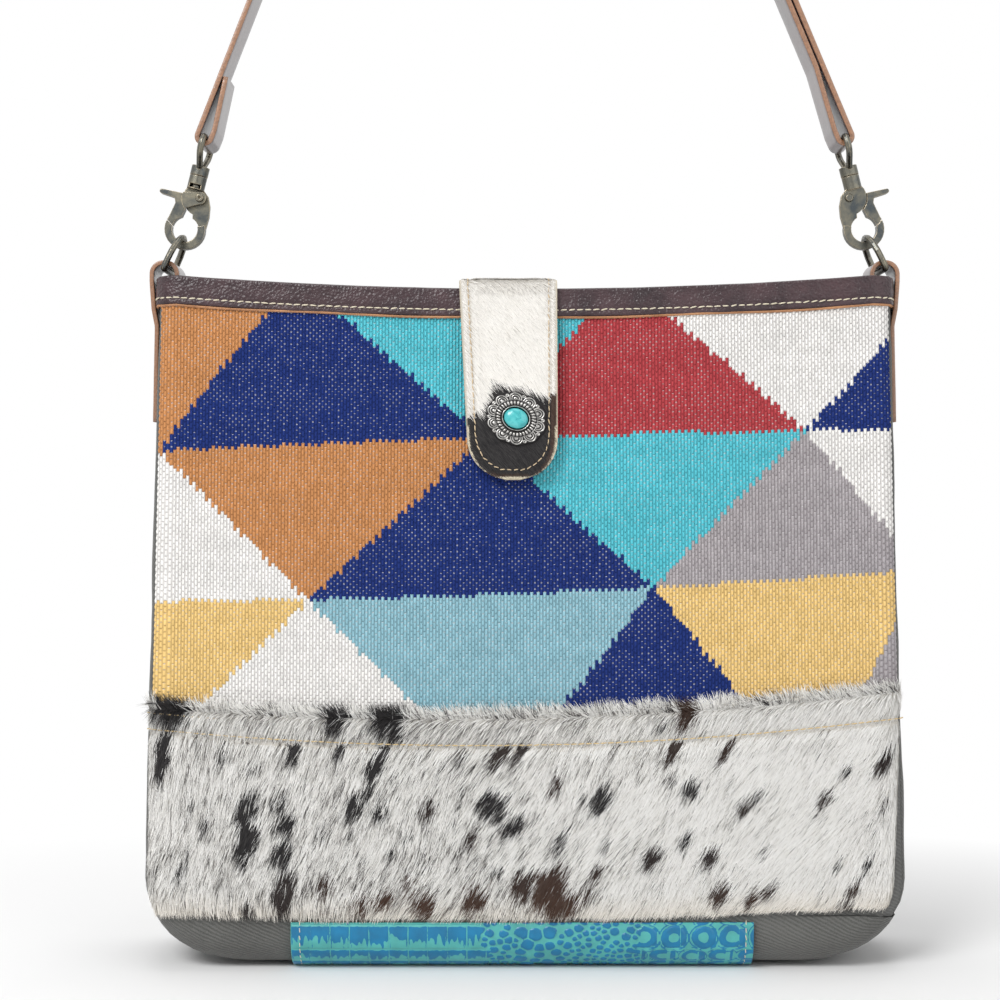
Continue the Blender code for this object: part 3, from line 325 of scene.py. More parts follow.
def clothMaterial(name, dark, light, pitch, source="UV", depth=0.00025):
    mat, into = newMaterial(name, 0.88)
    along = add("TexCoord").outputs[source]
    twill = useGroup(twillGroup, Along=along, Pitch=pitch)
    worn = noiseAt(objectPlace(), 22, 4, 0.6)
    tone = scaled(worn, 0.5, times(twill["Speck"], 0.75))
    feed(ramp(tone, [(0.32, dark), (0.86, light)]), into["Base Color"])
    feed(bumped(twill["Height"], depth), into["Normal"])
    into["Sheen Weight"].default_value = 0.15
    return mat


def leatherMaterial(name, dark, light, roughness, depth=0.00012, edge=None, scale=900.0, coat=0.0):
    # edge: colour of the raw cut side, marked by the "cut" attribute
    mat, into = newMaterial(name, roughness)
    grain = useGroup(grainGroup, Along=objectPlace(), Scale=scale)
    colour = ramp(grain["Tone"], [(0.35, dark), (0.68, light)])
    if edge:
        fibre = ramp(noiseAt(objectPlace(), 900, 3), [(0.3, toned(edge, 0.6)), (0.7, edge)])
        colour = mixed(attribute("cut"), colour, fibre)
    feed(colour, into["Base Color"])
    feed(scaled(grain["Tone"], 0.3, roughness - 0.15), into["Roughness"])
    feed(bumped(grain["Height"], depth), into["Normal"])
    into["Coat Weight"].default_value = coat
    into["Coat Roughness"].default_value = 0.3
    return mat


def metalMaterial(name, dark, light, worn, roughness, width=0.0006, metallic=1.0):
    mat, into = newMaterial(name, roughness, metallic)
    wear = useGroup(wearGroup, Width=width)
    base = ramp(wear["Patina"], [(0.35, dark), (0.65, light)])
    feed(mixed(wear["Edge"], base, worn), into["Base Color"])
    feed(scaled(wear["Patina"], 0.35, roughness - 0.12), into["Roughness"])
    scratch = noiseAt(mul(objectPlace(), (1, 1, 0.3)), 1400, 3, 0.7)
    feed(bumped(scratch, 0.00004, 0.6, wear["Normal"]), into["Normal"])
    return mat


canvas = clothMaterial("greyTwill", (0.003, 0.003, 0.0028), (0.140, 0.140, 0.132), 0.0017)
liningCloth = clothMaterial("liningCloth", (0.10, 0.08, 0.06), (0.24, 0.19, 0.14), 0.0009, depth=0.0001)
bindingLeather = leatherMaterial("bindingLeather", (0.018, 0.007, 0.010), (0.060, 0.027, 0.032), 0.36, depth=0.0004)
strapLeather = leatherMaterial("strapLeather", (0.045, 0.026, 0.028), (0.12, 0.078, 0.078), 0.36,
                               edge=(0.34, 0.160, 0.078), coat=1.0)
tabSuede = leatherMaterial("tabSuede", (0.26, 0.19, 0.13), (0.52, 0.42, 0.32), 0.9, scale=2600.0)
agedBrass = metalMaterial("agedBrass", (0.075, 0.086, 0.092), (0.21, 0.195, 0.150), (0.58, 0.48, 0.33), 0.30)
snapSteel = metalMaterial("snapSteel", (0.34, 0.34, 0.33), (0.52, 0.52, 0.50), (0.8, 0.8, 0.8), 0.34)
springSteel = metalMaterial("springSteel", (0.30, 0.30, 0.29), (0.50, 0.50, 0.48), (0.8, 0.8, 0.8), 0.34, 0.0001)
rawEdge = leatherMaterial("rawEdge", (0.34, 0.155, 0.07), (0.58, 0.30, 0.15), 0.8, scale=3000.0)
print("finishes made")


# the wall's shape


def wallSize(height):
    share = height / innerRim
    halfWidth = (wall["baseWidth"] + (wall["topWidth"] - wall["baseWidth"]) * share) / 2 - wall["thickness"]
    halfDepth = (wall["baseDepth"] + (wall["topDepth"] - wall["baseDepth"]) * share) / 2 - wall["thickness"]
    if height < wall["cornerRise"]:
        fall = 1 - height / wall["cornerRise"]
        halfWidth -= wall["cornerRun"] * (1 - math.sqrt(1 - fall**2))
    if height < wall["edgeRadius"]:
        halfDepth -= wall["edgeRadius"] - math.sqrt(wall["edgeRadius"] ** 2 - (wall["edgeRadius"] - height) ** 2)
    return halfWidth, halfDepth, wall["cornerShare"] * halfDepth


def levelHeight(level, across):
    rim = innerRim - wall["rimSag"] * (1 - across**2)
    if level <= 1:
        return wall["edgeRadius"] * (1 - math.cos(level * math.pi / 2))
    if level <= 2:
        return wall["edgeRadius"] + (wall["cornerRise"] - wall["edgeRadius"]) * (level - 1)
    return wall["cornerRise"] + (rim - wall["cornerRise"]) * (level - 2)


def levelOf(height, across=1):
    over = height - wall["floorLift"]
    if over <= wall["edgeRadius"]:
        return math.acos(1 - over / wall["edgeRadius"]) * 2 / math.pi
    if over <= wall["cornerRise"]:
        return 1 + (over - wall["edgeRadius"]) / (wall["cornerRise"] - wall["edgeRadius"])
    rim = innerRim - wall["rimSag"] * (1 - across**2)
    return 2 + (over - wall["cornerRise"]) / (rim - wall["cornerRise"])


def innerPoint(run, level):
    # run: 0 to 1 across the front, 1 to 2 round a corner, and so on to 8; level: 1 over the base, 3 at the rim
    run %= 8
    stretch, part = int(run), run - int(run)
    across = {0: 2 * part - 1, 4: 1 - 2 * part}.get(stretch, 1)
    height = levelHeight(level, across)
    halfWidth, halfDepth, radius = wallSize(height)
    flatX, flatY = halfWidth - radius, halfDepth - radius
    turn = part * math.pi / 2
    if stretch in (0, 4):
        x, y = flatX * across, halfDepth if stretch == 4 else -halfDepth
        y += math.copysign(wall["belly"] * (1 - across**2) * math.sin(math.pi * min(max(height / innerRim, 0), 1)), y)
    elif stretch in (2, 6):
        side = 1 if stretch == 2 else -1
        x, y = halfWidth * side, flatY * (2 * part - 1) * side
    else:
        lead, trail = math.sin(turn), math.cos(turn)
        if stretch in (3, 7):
            lead, trail = trail, lead
        x = (1 if stretch in (1, 3) else -1) * (flatX + radius * lead)
        y = (-1 if stretch in (1, 7) else 1) * (flatY + radius * trail)
    return Vector((x, y, height + wall["floorLift"]))


def wallPoint(run, level, out):
    here = innerPoint(run, level)
    if level <= 0:
        return here + Vector((0, 0, -out))
    nudge = 0.001
    along = innerPoint(run + nudge, level) - innerPoint(run - nudge, level)
    up = innerPoint(run, level + nudge) - innerPoint(run, max(level - nudge, 0))
    return here + along.cross(up).normalized() * out


def rimPoint(run, rise, out):
    return wallPoint(run, 3 + rise / (innerRim - wall["cornerRise"]), out)


def evenly(low, high, steps):
    return [low + (high - low) * i / steps for i in range(steps + 1)]


def hump(x, middle, width):
    return math.exp(-((x - middle) / width) ** 2)


def evenRuns(low, high, pitch, level=2.5):
    # places along the wall at one pitch in metres, whatever the stretch
    samples = 400
    marks = evenly(low, high, samples)
    points = [innerPoint(mark, level) for mark in marks]
    lengths = [0]
    for before, after in zip(points, points[1:]):
        lengths.append(lengths[-1] + (after - before).length)
    steps = max(2, round(lengths[-1] / pitch))
    runs, at = [], 0
    for i in range(steps + 1):
        goal = lengths[-1] * i / steps
        while at < samples - 1 and lengths[at + 1] < goal:
            at += 1
        share = (goal - lengths[at]) / (lengths[at + 1] - lengths[at])
        runs.append(marks[at] + (marks[at + 1] - marks[at]) * share)
    return runs


def evenLevels(low, high, pitch):
    steps = max(2, round((high - low) / pitch))
    return [levelOf(height) for height in evenly(low, high, steps)]


# mesh helpers


def addPiece(name, points, faces, mat, uvs=None, body="bag", stands=()):
    mesh = bpy.data.meshes.new(name)
    mesh.from_pydata([tuple(point) for point in points], [], faces)
    if uvs:
        layer = mesh.uv_layers.new(name="along")
        corners = [0] * len(mesh.loops)
        mesh.loops.foreach_get("vertex_index", corners)
        flat = [value for corner in corners for value in uvs[corner]]
        layer.data.foreach_set("uv", flat)
    mesh.shade_smooth()
    mesh.materials.append(mat)
    return settlePiece(bpy.data.objects.new(name, mesh), body, stands)


def settlePiece(piece, body, stands=()):
    if piece.name not in bpy.context.scene.collection.all_objects:
        bpy.context.scene.collection.objects.link(piece)
    if isinstance(body, str):
        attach(piece, body)
    if stands:
        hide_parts(*stands)
    return piece


def gridFaces(rows, columns, closed=False):
    faces = []
    for j in range(rows - 1):
        for i in range(columns if closed else columns - 1):
            k = (i + 1) % columns
            faces.append((j * columns + i, j * columns + k, (j + 1) * columns + k, (j + 1) * columns + i))
    return faces


def ripple(place, scale, size, seed=0):
    return noise.noise(place * scale + Vector((seed, 0, 0))) * size


def addAttribute(mesh, name, values, domain="POINT", kind="FLOAT"):
    layer = mesh.attributes.new(name, kind, domain)
    if kind == "FLOAT":
        layer.data.foreach_set("value", values)
    else:
        layer.data.foreach_set("vector", [part for value in values for part in value])


def skirted(marks, edge, turn=0.0003):
    # marks with doubled ends, and how far each stands back from the face: the sides of the cloth turn in there
    first, last = marks[0], marks[-1]
    return [(first, edge), (first, turn), *[(mark, 0) for mark in marks[1:-1]], (last, turn), (last, edge)]


def turned(faces):
    return [tuple(reversed(face)) for face in faces]


def clothPiece(name, runs, levels, out, mat, stands, relief=None, depth=0.0019, closed=False, uvScale=1.0):
    # a sheet on the wall, its sides turned in; relief gives extra height at a place
    columns = [(run, 0) for run in runs] if closed else skirted(runs, depth)
    rows = skirted(levels, depth)
    points, uvs = [], []
    for level, levelBack in rows:
        along, last = 0, None
        for run, runBack in columns:
            back = max(levelBack, runBack)
            here = wallPoint(run, level, out - back)
            if relief and not back:
                here = wallPoint(run, level, out + relief(here))
            along += (here - last).length if last else 0
            last = here
            points.append(here)
            uvs.append((along * uvScale, here.z * uvScale))
    return addPiece(name, points, gridFaces(len(rows), len(columns), closed), mat, uvs, "bag", stands)


# canvas body

body = {
    "pitch": 0.005, "shell": 0.0035, "baseSeam": 0.025, "frontTop": 0.1045, "sideGap": 0.003,
    # the cloth's waves: how close, how high and from which draw
    "waves": ((30, 0.0007, 0), (90, 0.00021, 5)), "baseWaves": 1.2,
    # the base: runs' level, rows underneath, and height and pitch of the rows over them
    "baseLevel": 0.9, "baseRows": 6, "baseTop": 0.0175, "basePitch": 0.0035,
}


def makeCanvas():
    def sag(place):
        return sum(ripple(place, *wave) for wave in body["waves"])

    pitch, low, high = body["pitch"], body["baseSeam"], wall["rim"] - 0.001
    edge, shell, apart = wall["frontEdge"], body["shell"], body["sideGap"]
    stretches = {
        "backCanvas": (3 + apart, 6 - apart, "back_panel"),
        "gussetCanvasRight": (1 + edge, 3 - apart, "gusset_right"),
        "gussetCanvasLeft": (6 + apart, 8 - edge, "gusset_left"),
    }
    for name, (first, last, node) in stretches.items():
        levels = evenLevels(low, high, pitch)
        levels[-1] = 3
        clothPiece(name, evenRuns(first, last, pitch), levels, shell, canvas, (node,), sag)
    clothPiece("frontCanvas", evenRuns(-edge, 1 + edge, pitch), evenLevels(low, body["frontTop"], pitch), shell, canvas,
               ("front_canvas",), sag)
    # the base has boxed corners and closes underneath
    runs = evenRuns(0, 8, pitch, body["baseLevel"])[:-1]
    rows = [*evenly(0, 1, body["baseRows"]), *evenLevels(body["baseTop"], low, body["basePitch"])[1:]]
    points, uvs = [], []
    for level in rows:
        for run in runs:
            here = wallPoint(run, level, shell)
            if level > 0.3:
                here = wallPoint(run, level, shell + sag(here) * body["baseWaves"])
            points.append(here)
            uvs.append((here.x, here.z + abs(here.y)))
    faces = gridFaces(len(rows), len(runs), True)
    middle = len(points)
    points.append(Vector((0, 0, points[0].z)))
    uvs.append((0, 0))
    faces += [((i + 1) % len(runs), i, middle) for i in range(len(runs))]
    addPiece("baseCanvas", points, faces, canvas, uvs, "bag", ("base_panel",))


lining = {"pitch": 0.006, "rows": 34, "folds": ((26, 0.0012, 0), (70, 0.0006, 3))}


def makeLining():
    # the inner side of the bag, seen in its mouth
    runs, levels = evenRuns(0, 8, lining["pitch"])[:-1], [0, 0.5, 1, *evenly(1.5, 3, lining["rows"])]
    points, uvs = [], []
    for level in reversed(levels):
        for run in runs:
            here = wallPoint(run, level, 0)
            if 1 < level < 2.9:
                here = wallPoint(run, level, -sum(abs(ripple(here, *fold)) for fold in lining["folds"]))
            points.append(here)
            uvs.append((here.x + here.y, here.z))
    faces = gridFaces(len(levels), len(runs), True)
    middle = len(points)
    points.append(Vector((0, 0, points[-1].z)))
    uvs.append((0, 0))
    start = middle - len(runs)
    faces += [(start + i, start + (i + 1) % len(runs), middle) for i in range(len(runs))]
    addPiece("liningCloth", points, faces, liningCloth, uvs, "bag", ("lining",))


# kilim front

kilim = {
    "bead": (0.0015, 0.0029), "relief": 0.00046, "bottom": 0.1055, "tooth": 0.0034, "edge": 0.0019,
    "topGap": 0.004, "wave": (22, 0.0006),
    "dyes": ("tan", "navy", "turquoise", "red", "white", "grey", "yellow", "sky"),
    "colours": {
        "tan": (0.60, 0.27, 0.105), "navy": (0.016, 0.036, 0.185), "turquoise": (0.105, 0.56, 0.66),
        "red": (0.46, 0.060, 0.070), "white": (0.90, 0.885, 0.86), "grey": (0.415, 0.385, 0.40),
        "yellow": (0.87, 0.60, 0.235), "sky": (0.29, 0.53, 0.62),
    },
    # heights of the bands' borders at the left, middle and right in metres, and the triangles' points on each in mm
    "borders": ((0.322, 0.322, 0.322), (0.2402, 0.2465, 0.2502), (0.1700, 0.1738, 0.1835), (0.0845, 0.0845, 0.0845)),
    "points": ((-107, 47, 200), (-171.5, -19, 131), (-101, 59.5, 186), (-188, -12, 131.5)),
    "bands": (
        ("tan", "navy", "turquoise", "red", "white", "navy"),
        ("white", "tan", "navy", "turquoise", "grey", "white"),
        ("yellow", "white", "sky", "navy", "yellow", "grey"),
    ),
}


def zigzag(band, share):
    # where the band's lines cross that share of its height, from the left
    over, under = kilim["points"][band], kilim["points"][band + 1]
    pairs = {
        0: ((0, 0), (0, 1), (1, 1), (1, 2), (2, 2)),
        1: ((0, 0), (1, 0), (1, 1), (2, 1), (2, 2)),
        2: ((0, 0), (0, 1), (1, 1), (1, 2), (2, 2)),
    }[band]
    return [over[i] * share + under[j] * (1 - share) for i, j in pairs]


def kilimDye(place):
    # which triangle a bead is in: the zigzag lines to its left are counted; the weave steps them into teeth
    borders = [throughThree(place.x, heights) for heights in kilim["borders"]]
    band = sum(place.z < border for border in borders[1:-1])
    top, bottom = borders[band:band + 2]
    share = (math.floor(place.z / kilim["tooth"]) * kilim["tooth"] + kilim["tooth"] / 2 - bottom) / (top - bottom)
    names = kilim["bands"][band]
    index = sum(place.x * 1000 > line for line in zigzag(band, share))
    return kilim["dyes"].index(names[min(index, len(names) - 1)])


def kilimMaterial():
    mat, into = newMaterial("kilimWool", 0.92)
    dyes = [kilim["colours"][name] for name in kilim["dyes"]]
    dye = ramp(attribute("dye"), [(i / 8, colour) for i, colour in enumerate(dyes)], "CONSTANT")
    parts = partsOf(add("TexCoord").outputs["UV"])[:2]
    across, up = (calc("ABSOLUTE", scaled(calc("FRACT", part), 2, -1)) for part in parts)
    # rounded yarn between two warps, with a twist in it
    rounded = times(minus(1, power(across, 2)), minus(1, power(up, 4)))
    twist = noiseAt(mul(objectPlace(), (1, 1, 0.5)), 2600, 2, 0.6)
    yarn = scaled(twist, 0.3, rounded)
    # painted shade: each bead's colour darkens towards its edges and into the gaps between beads
    shade = mixed(scaled(rounded, -0.85, 0.85), dye, mixed(1.0, dye, (0.72, 0.70, 0.70), "MULTIPLY"))
    tone = scaled(attribute("bead"), 0.16, 0.98)
    streak = scaled(noiseAt(mul(objectPlace(), (30, 30, 170)), 1, 3), 0.26, 0.88)
    value = times(tone, streak)
    shade = mixed(1.0, shade, vectorOf(value, value, value), "MULTIPLY")
    # a speck of the pale weft shows where two beads meet, more in some places than in others
    near = vectorCalc("LENGTH", vectorOf(times(across, 0.55), minus(1, up), 0))
    cloud = scaled(noiseAt(mul(objectPlace(), (28, 28, 130)), 1, 3), 1.5, -0.75)
    often = calc("GREATER_THAN", plus(attribute("bead"), cloud), 0.52)
    shown = times(calc("MAXIMUM", scaled(near, -4.5, 1.6), 0), often)
    shade = mixed(times(calc("MINIMUM", shown, 1), scaled(attribute("bead"), 0.6, 0.1)), shade, (0.84, 0.83, 0.83))
    feed(shade, into["Base Color"])
    feed(bumped(yarn, 0.0007, 1.0), into["Normal"])
    into["Specular IOR Level"].default_value = 0.15
    return mat


def makeKilim():
    wide, tall = kilim["bead"]
    runs = evenRuns(-wall["frontEdge"], 1 + wall["frontEdge"], wide / 2)
    steps = 2 * round((wall["rim"] - kilim["topGap"] - kilim["bottom"]) / tall)
    first = levelOf(kilim["bottom"], 0)
    levels = evenly(first, 3, steps)
    columns, rows = skirted(runs, kilim["edge"]), skirted(levels, kilim["edge"])
    points = []
    for j, (level, levelBack) in enumerate(rows):
        for i, (run, runBack) in enumerate(columns):
            cord = (i - 1) // 2
            raised = (i - 1) % 2 and (j - 1 + cord % 2) % 2
            back = max(levelBack, runBack)
            here = wallPoint(run, level, body["shell"] - back + (kilim["relief"] if raised and not back else 0))
            if not back:
                here.y -= ripple(here, *kilim["wave"])
            points.append(here)
    faces, dyes, tones, corners = [], [], [], []
    known = {}
    count = len(columns)
    for j in range(len(rows) - 1):
        for i in range(count - 1):
            column = (i - 1) // 2
            shift = column % 2
            bead = (j - 1 + shift) // 2
            if (column, bead) not in known:
                at = min(max(2 * column + 2, 0), count - 1) + count * min(max(2 * bead + 2 - shift, 0), len(rows) - 1)
                known[(column, bead)] = kilimDye(points[at]), random.random()
            dye, tone = known[(column, bead)]
            a = j * count + i
            faces.append((a, a + 1, a + 1 + count, a + count))
            dyes.append(dye / 8 + 0.01)
            tones.append(tone)
            left, low = (i - 1) / 2, (j - 1 + shift) / 2
            corners += [(left, low), (left + 0.5, low), (left + 0.5, low + 0.5), (left, low + 0.5)]
    piece = addPiece("kilimFront", points, faces, kilimMaterial(), None, "bag", ("kilim_panel",))
    layer = piece.data.uv_layers.new(name="beads")
    # a hair's breadth off the beads' corners, where the pattern turns over
    layer.data.foreach_set("uv", [part for left, low in corners for part in (left + 0.0002, low + 0.0001)])
    addAttribute(piece.data, "dye", dyes, "FACE")
    addAttribute(piece.data, "bead", tones, "FACE")


# hair: blades that follow a flow laid on the skin


def geometryTree(name, inputs):
    return newGroup(name, {"Geometry": "Geometry", **inputs}, {"Geometry": "Geometry"}, "GeometryNodeTree")


def geo(kind, **settings):
    return add(kind, "GeometryNode", **settings)


def randomTo(low, high, seed):
    made = add("RandomValue", "FunctionNode", data_type="FLOAT")
    feed(low, made.inputs[2])
    feed(high, made.inputs[3])
    feed(seed, made.inputs["Seed"])
    return made.outputs[1]


def named(name, kind="FLOAT"):
    return filled(geo("InputNamedAttribute", data_type=kind), name)


def stored(geometry, name, value, kind="FLOAT"):
    return wired(geo("StoreNamedAttribute", data_type=kind), Name=name, Geometry=geometry, Value=value)[0]


def gridOf(columns, rows):
    return wired(geo("MeshGrid"), Size_X=1.0, Size_Y=1.0, Vertices_X=columns, Vertices_Y=rows)[0]


def turnedBy(lay, angles):
    more = filled(add("EulerToRotation", "FunctionNode"), angles)
    return filled(add("RotateRotation", "FunctionNode", rotation_space="LOCAL"), lay, more)


def planted(points, shape, rotation, scale, finish, out):
    plant = wired(geo("InstanceOnPoints"), Points=points, Instance=shape, Rotation=rotation, Scale=scale)[0]
    real = filled(geo("RealizeInstances"), plant)
    feed(wired(geo("SetMaterial"), Geometry=real, Material=finish)[0], out["Geometry"])


def grown(name, source, tree, values, body="bag"):
    # runs a node tree on a mesh and keeps its result as a plain mesh
    maker = source.copy()
    maker.data = source.data.copy()
    bpy.context.scene.collection.objects.link(maker)
    step = maker.modifiers.new("grow", "NODES")
    step.node_group = tree
    ids = {item.name: item.identifier for item in tree.interface.items_tree if item.in_out == "INPUT"}
    for socket, value in values.items():
        step[ids[socket]] = value
    bpy.context.view_layer.update()
    mesh = bpy.data.meshes.new_from_object(maker.evaluated_get(bpy.context.evaluated_depsgraph_get()))
    bpy.data.objects.remove(maker, do_unlink=True)
    mesh.shade_smooth()
    piece = bpy.data.objects.new(name, mesh)
    return settlePiece(piece, body)


def makeFurTree():
    tree, given, out = geometryTree("fur", {
        "Density": 1e6, "Length": 0.010, "Width": 0.0004, "Lift": 0.15, "Wander": 0.25, "Seed": 1,
        "Finish": "Material"})
    scatter = wired(geo("DistributePointsOnFaces", distribute_method="RANDOM"), Mesh=given["Geometry"],
                    Density=times(given["Density"], named("hair")), Seed=given["Seed"])
    points = stored(scatter["Points"], "strand", randomTo(0.0, 1.0, 11))
    points = stored(points, "root", geo("InputPosition").outputs[0], "FLOAT_VECTOR")
    lay = filled(add("AxesToRotation", "FunctionNode", primary_axis="Z", secondary_axis="X"),
                 scatter["Normal"], named("flow", "FLOAT_VECTOR"))
    aside = times(given["Wander"], -1)
    stray = vectorOf(randomTo(aside, given["Wander"], 5), randomTo(-0.06, 0.02, 7), randomTo(aside, given["Wander"], 3))
    # one blade, which narrows and rises towards its tip
    along, across = partsOf(geo("InputPosition").outputs[0])[:2]
    tip = plus(along, 0.5)
    narrow = minus(1, times(power(tip, 1.6), 0.88))
    rise = times(power(tip, 0.7), given["Lift"])
    blade = wired(geo("SetPosition"), Geometry=stored(gridOf(4, 2), "tip", tip),
                  Position=vectorOf(tip, times(across, narrow), rise))[0]
    long = times(times(given["Length"], named("reach")), randomTo(0.6, 1.15, 9))
    planted(points, blade, turnedBy(lay, stray), vectorOf(long, given["Width"], long), given["Finish"], out)
    return tree


def makeHairGroup():
    # one hair's colour: white to grey, or black and brown where the skin's marks are
    group, given, out = newGroup("hairColour", {"Ink": 0.0, "Brown": 0.0, "Warm": 0.0, "Strand": 0.5, "Clean": 0.0,
                                                "Root": None}, {"Color": "Color"})
    patch = noiseAt(given["Root"], 75, 4, 0.65)
    salt = noiseAt(mul(given["Root"], (1, 1, 0.4)), 900, 1)
    tone = scaled(given["Strand"], 0.6, scaled(patch, 0.9, scaled(salt, 1.5, -1.06)))
    tone = scaled(given["Clean"], 0.5, tone)
    pale = ramp(tone, [(0.0, (0.030, 0.027, 0.028)), (0.14, (0.20, 0.185, 0.175)),
                       (0.36, (0.90, 0.885, 0.845)), (0.74, (1.0, 0.99, 0.965))])
    pale = mixed(times(given["Warm"], 0.6), pale, (0.90, 0.80, 0.66), "MULTIPLY")
    dark = mixed(given["Brown"], (0.009, 0.008, 0.010), (0.060, 0.026, 0.014))
    dark = mixed(times(given["Strand"], 0.05), dark, (0.8, 0.75, 0.7))
    # the marks' borders are ragged: locks of white cross into them
    lock = scaled(noiseAt(mul(given["Root"], (1, 1, 0.4)), 430, 2, 0.6), 2.6, -1.3)
    lock = times(lock, calc("MINIMUM", times(given["Ink"], 1.6), 1))
    level = minus(scaled(lock, minus(1, given["Clean"]), given["Ink"]), scaled(given["Strand"], 0.7, 0.12))
    hit = scaled(level, 6, 0.5)
    feed(mixed(calc("MAXIMUM", calc("MINIMUM", hit, 1), 0), pale, dark), out["Color"])
    return group


furTree, hairGroup = makeFurTree(), makeHairGroup()


def hairMaterial(name, strand, cut=None):
    mat, into = newMaterial(name, 0.55)
    place = attribute("root", "Vector") if strand else objectPlace()
    one = attribute("strand") if strand else noiseAt(mul(objectPlace(), (1, 1, 0.25)), 1500, 2)
    colour = useGroup(hairGroup, Ink=attribute("ink"), Brown=attribute("brown"),
                      Warm=attribute("warm"), Strand=one, Clean=attribute("clean"), Root=place)["Color"]
    if strand:
        # painted shade: each strand is darker at its root, deep in the fur, and full colour at its tip
        depth = scaled(attribute("tip"), 0.30, 0.70)
        colour = mixed(1.0, colour, vectorOf(depth, depth, depth), "MULTIPLY")
    else:
        # painted shade: the skin under the hair takes the hair's colour darkened to about half
        colour = mixed(1.0, colour, (0.55, 0.53, 0.50), "MULTIPLY")
    if cut:
        fuzz = noiseAt(objectPlace(), 1800, 3)
        colour = mixed(attribute("cut"), colour, ramp(fuzz, [(0.3, toned(cut, 0.6)), (0.7, cut)]))
    feed(colour, into["Base Color"])
    into["Specular IOR Level"].default_value = 0.22
    return mat


def addHairData(piece, spots):
    # each point's flow and its numbers, by name
    for name in spots[0]:
        kind = "FLOAT_VECTOR" if name == "flow" else "FLOAT"
        addAttribute(piece.data, name, [spot[name] for spot in spots], kind=kind)


def growHair(name, skin, look, seed, body="bag", lift=1.0):
    density, length, width, rise, wander = look
    return grown(name, skin, furTree, {"Density": density, "Length": length, "Width": width, "Lift": rise * lift,
                                       "Wander": wander, "Seed": seed, "Finish": hairStrand}, body)


hairSkin, hairStrand = hairMaterial("hairSkin", False), hairMaterial("hairStrand", True)
tabHide = hairMaterial("tabHide", False, (0.70, 0.62, 0.47))

hide = {
    "top": (0.1205, 0.1165, 0.1280), "bottom": (0.0275, 0.0250, 0.0300), "seam": (0.1105, 0.1040, 0.1155),
    "left": (0.52, 0.46), "right": (0.52, 0.22),
    "pitch": 0.0022, "out": 0.0058, "lean": (14, 31, 31), "wander": 19.2, "edge": 0.0020, "steps": 46, "columns": 178,
    # the front's flat width and a corner's length, as far as the columns' spacing goes
    "flat": 0.327, "corner": 0.030,
    # hair on the face and of the turned-over top edge: density, length, width, lift and wander
    "hair": (1.15e6, 0.0080, 0.00030, 0.085, 0.22), "fringe": (4.2e6, 0.0072, 0.00036, 0.25, 0.45),
    # marks on the skin: x, z, half width, half length in mm, how dark, how brown
    "marks": (
        (-165, 117, 9, 5, 1.3, 0), (-168, 98, 3.5, 12, 1.1, 0), (-128, 74, 5, 9, 1.2, 0), (-128, 60, 5, 9, 1.2, 0),
        (-130, 50, 4, 4, 0.8, 0), (-114, 78, 3.5, 7, 0.8, 0), (-110, 68, 4.5, 6, 0.9, 0), (-112, 54, 4.5, 8, 1.1, 0),
        (-111, 36, 5, 11, 1.4, 0), (-69, 94, 3.5, 9, 1.2, 0), (-72, 84, 3, 5, 0.9, 0), (-79, 75, 4, 7, 1.2, 0),
        (-108, 98, 4, 5, 0.7, 0), (-140, 98, 2.5, 6, 0.6, 0), (-126, 93, 3, 3.5, 0.6, 0), (-148, 67, 2.6, 5, 0.8, 0),
        (-155, 74, 2, 4, 0.7, 0), (-158, 47, 3, 6, 0.7, 0), (-88, 114, 6, 5, 1.3, 0), (-64, 113, 9, 6, 1.4, 0),
        (-86, 101, 3, 4, 0.7, 0), (-92, 40, 4, 6, 0.8, 0.3), (-94, 64, 4, 7, 0.5, 0), (-45, 74, 4, 5, 0.7, 0.3),
        (-67, 73, 5, 4, 0.7, 0), (-65, 34, 5, 5, 0.8, 0.6), (-76, 30, 5, 5, 0.8, 0.5), (-47, 31, 8, 6, 0.8, 0.7),
        (-128, 28, 4, 4, 0.9, 0), (-26, 60, 4, 8, 0.7, 0.3), (-23, 34, 6, 8, 0.9, 0.5), (-54, 41, 4, 4, 0.6, 0.4),
        (-12, 99, 3.5, 8, 0.9, 0.3), (-2, 101, 2.6, 8, 0.8, 0.2), (-15, 76, 7, 7, 1.1, 0), (-6, 66, 5, 6, 1.0, 0),
        (14, 86, 2.6, 6, 1.0, 0.5), (34, 80, 3, 8, 0.9, 0), (-1, 39, 6, 7, 1.1, 0.3), (12, 40, 7, 10, 1.1, 0.6),
        (13, 31, 10, 6, 1.3, 0.9), (16, 60, 4, 6, 0.7, 0), (33, 46, 3, 6, 0.8, 0.4), (-31, 97, 3, 4, 0.5, 0),
        (68, 101, 3, 7, 1.0, 0.4), (63, 112, 2, 3, 0.7, 0), (74, 116, 5, 6, 0.8, 0.7), (92, 100, 2, 7, 0.9, 0.5),
        (41, 102, 2, 5, 0.5, 0.3), (67, 88, 3, 3, 0.7, 0.2), (76, 84, 4.5, 5, 0.9, 0), (36, 78, 3.4, 7, 0.9, 0),
        (101, 76, 3.5, 5, 0.7, 0.3), (107, 80, 2.4, 4, 0.7, 0), (148, 92, 2.6, 3.5, 0.6, 0),
        (138, 79, 3.5, 5, 0.7, 0.3),
        (166, 96, 3.5, 7, 1.0, 0.2), (74, 60, 3, 5, 0.7, 0), (58, 52, 5, 6, 0.9, 0.2), (37, 59, 2, 4, 0.6, 0),
        (85, 53, 4, 5, 0.9, 0.2), (110, 55, 2.4, 4, 0.5, 0), (90, 36, 4.5, 6, 1.1, 0.6), (104, 33, 3, 5, 0.8, 0.7),
        (112, 37, 3, 5, 0.8, 0.5), (151, 38, 3, 4, 0.8, 0.5), (147, 30, 4, 3, 0.8, 0.3), (157, 48, 2, 5, 0.8, 0),
        (20, 32, 7, 6, 1.0, 0.8), (30, 36, 4, 4, 0.7, 0.4), (165, 75, 2, 5, 0.5, 0.2), (144, 49, 2.5, 3.5, 0.5, 0),
    ),
}


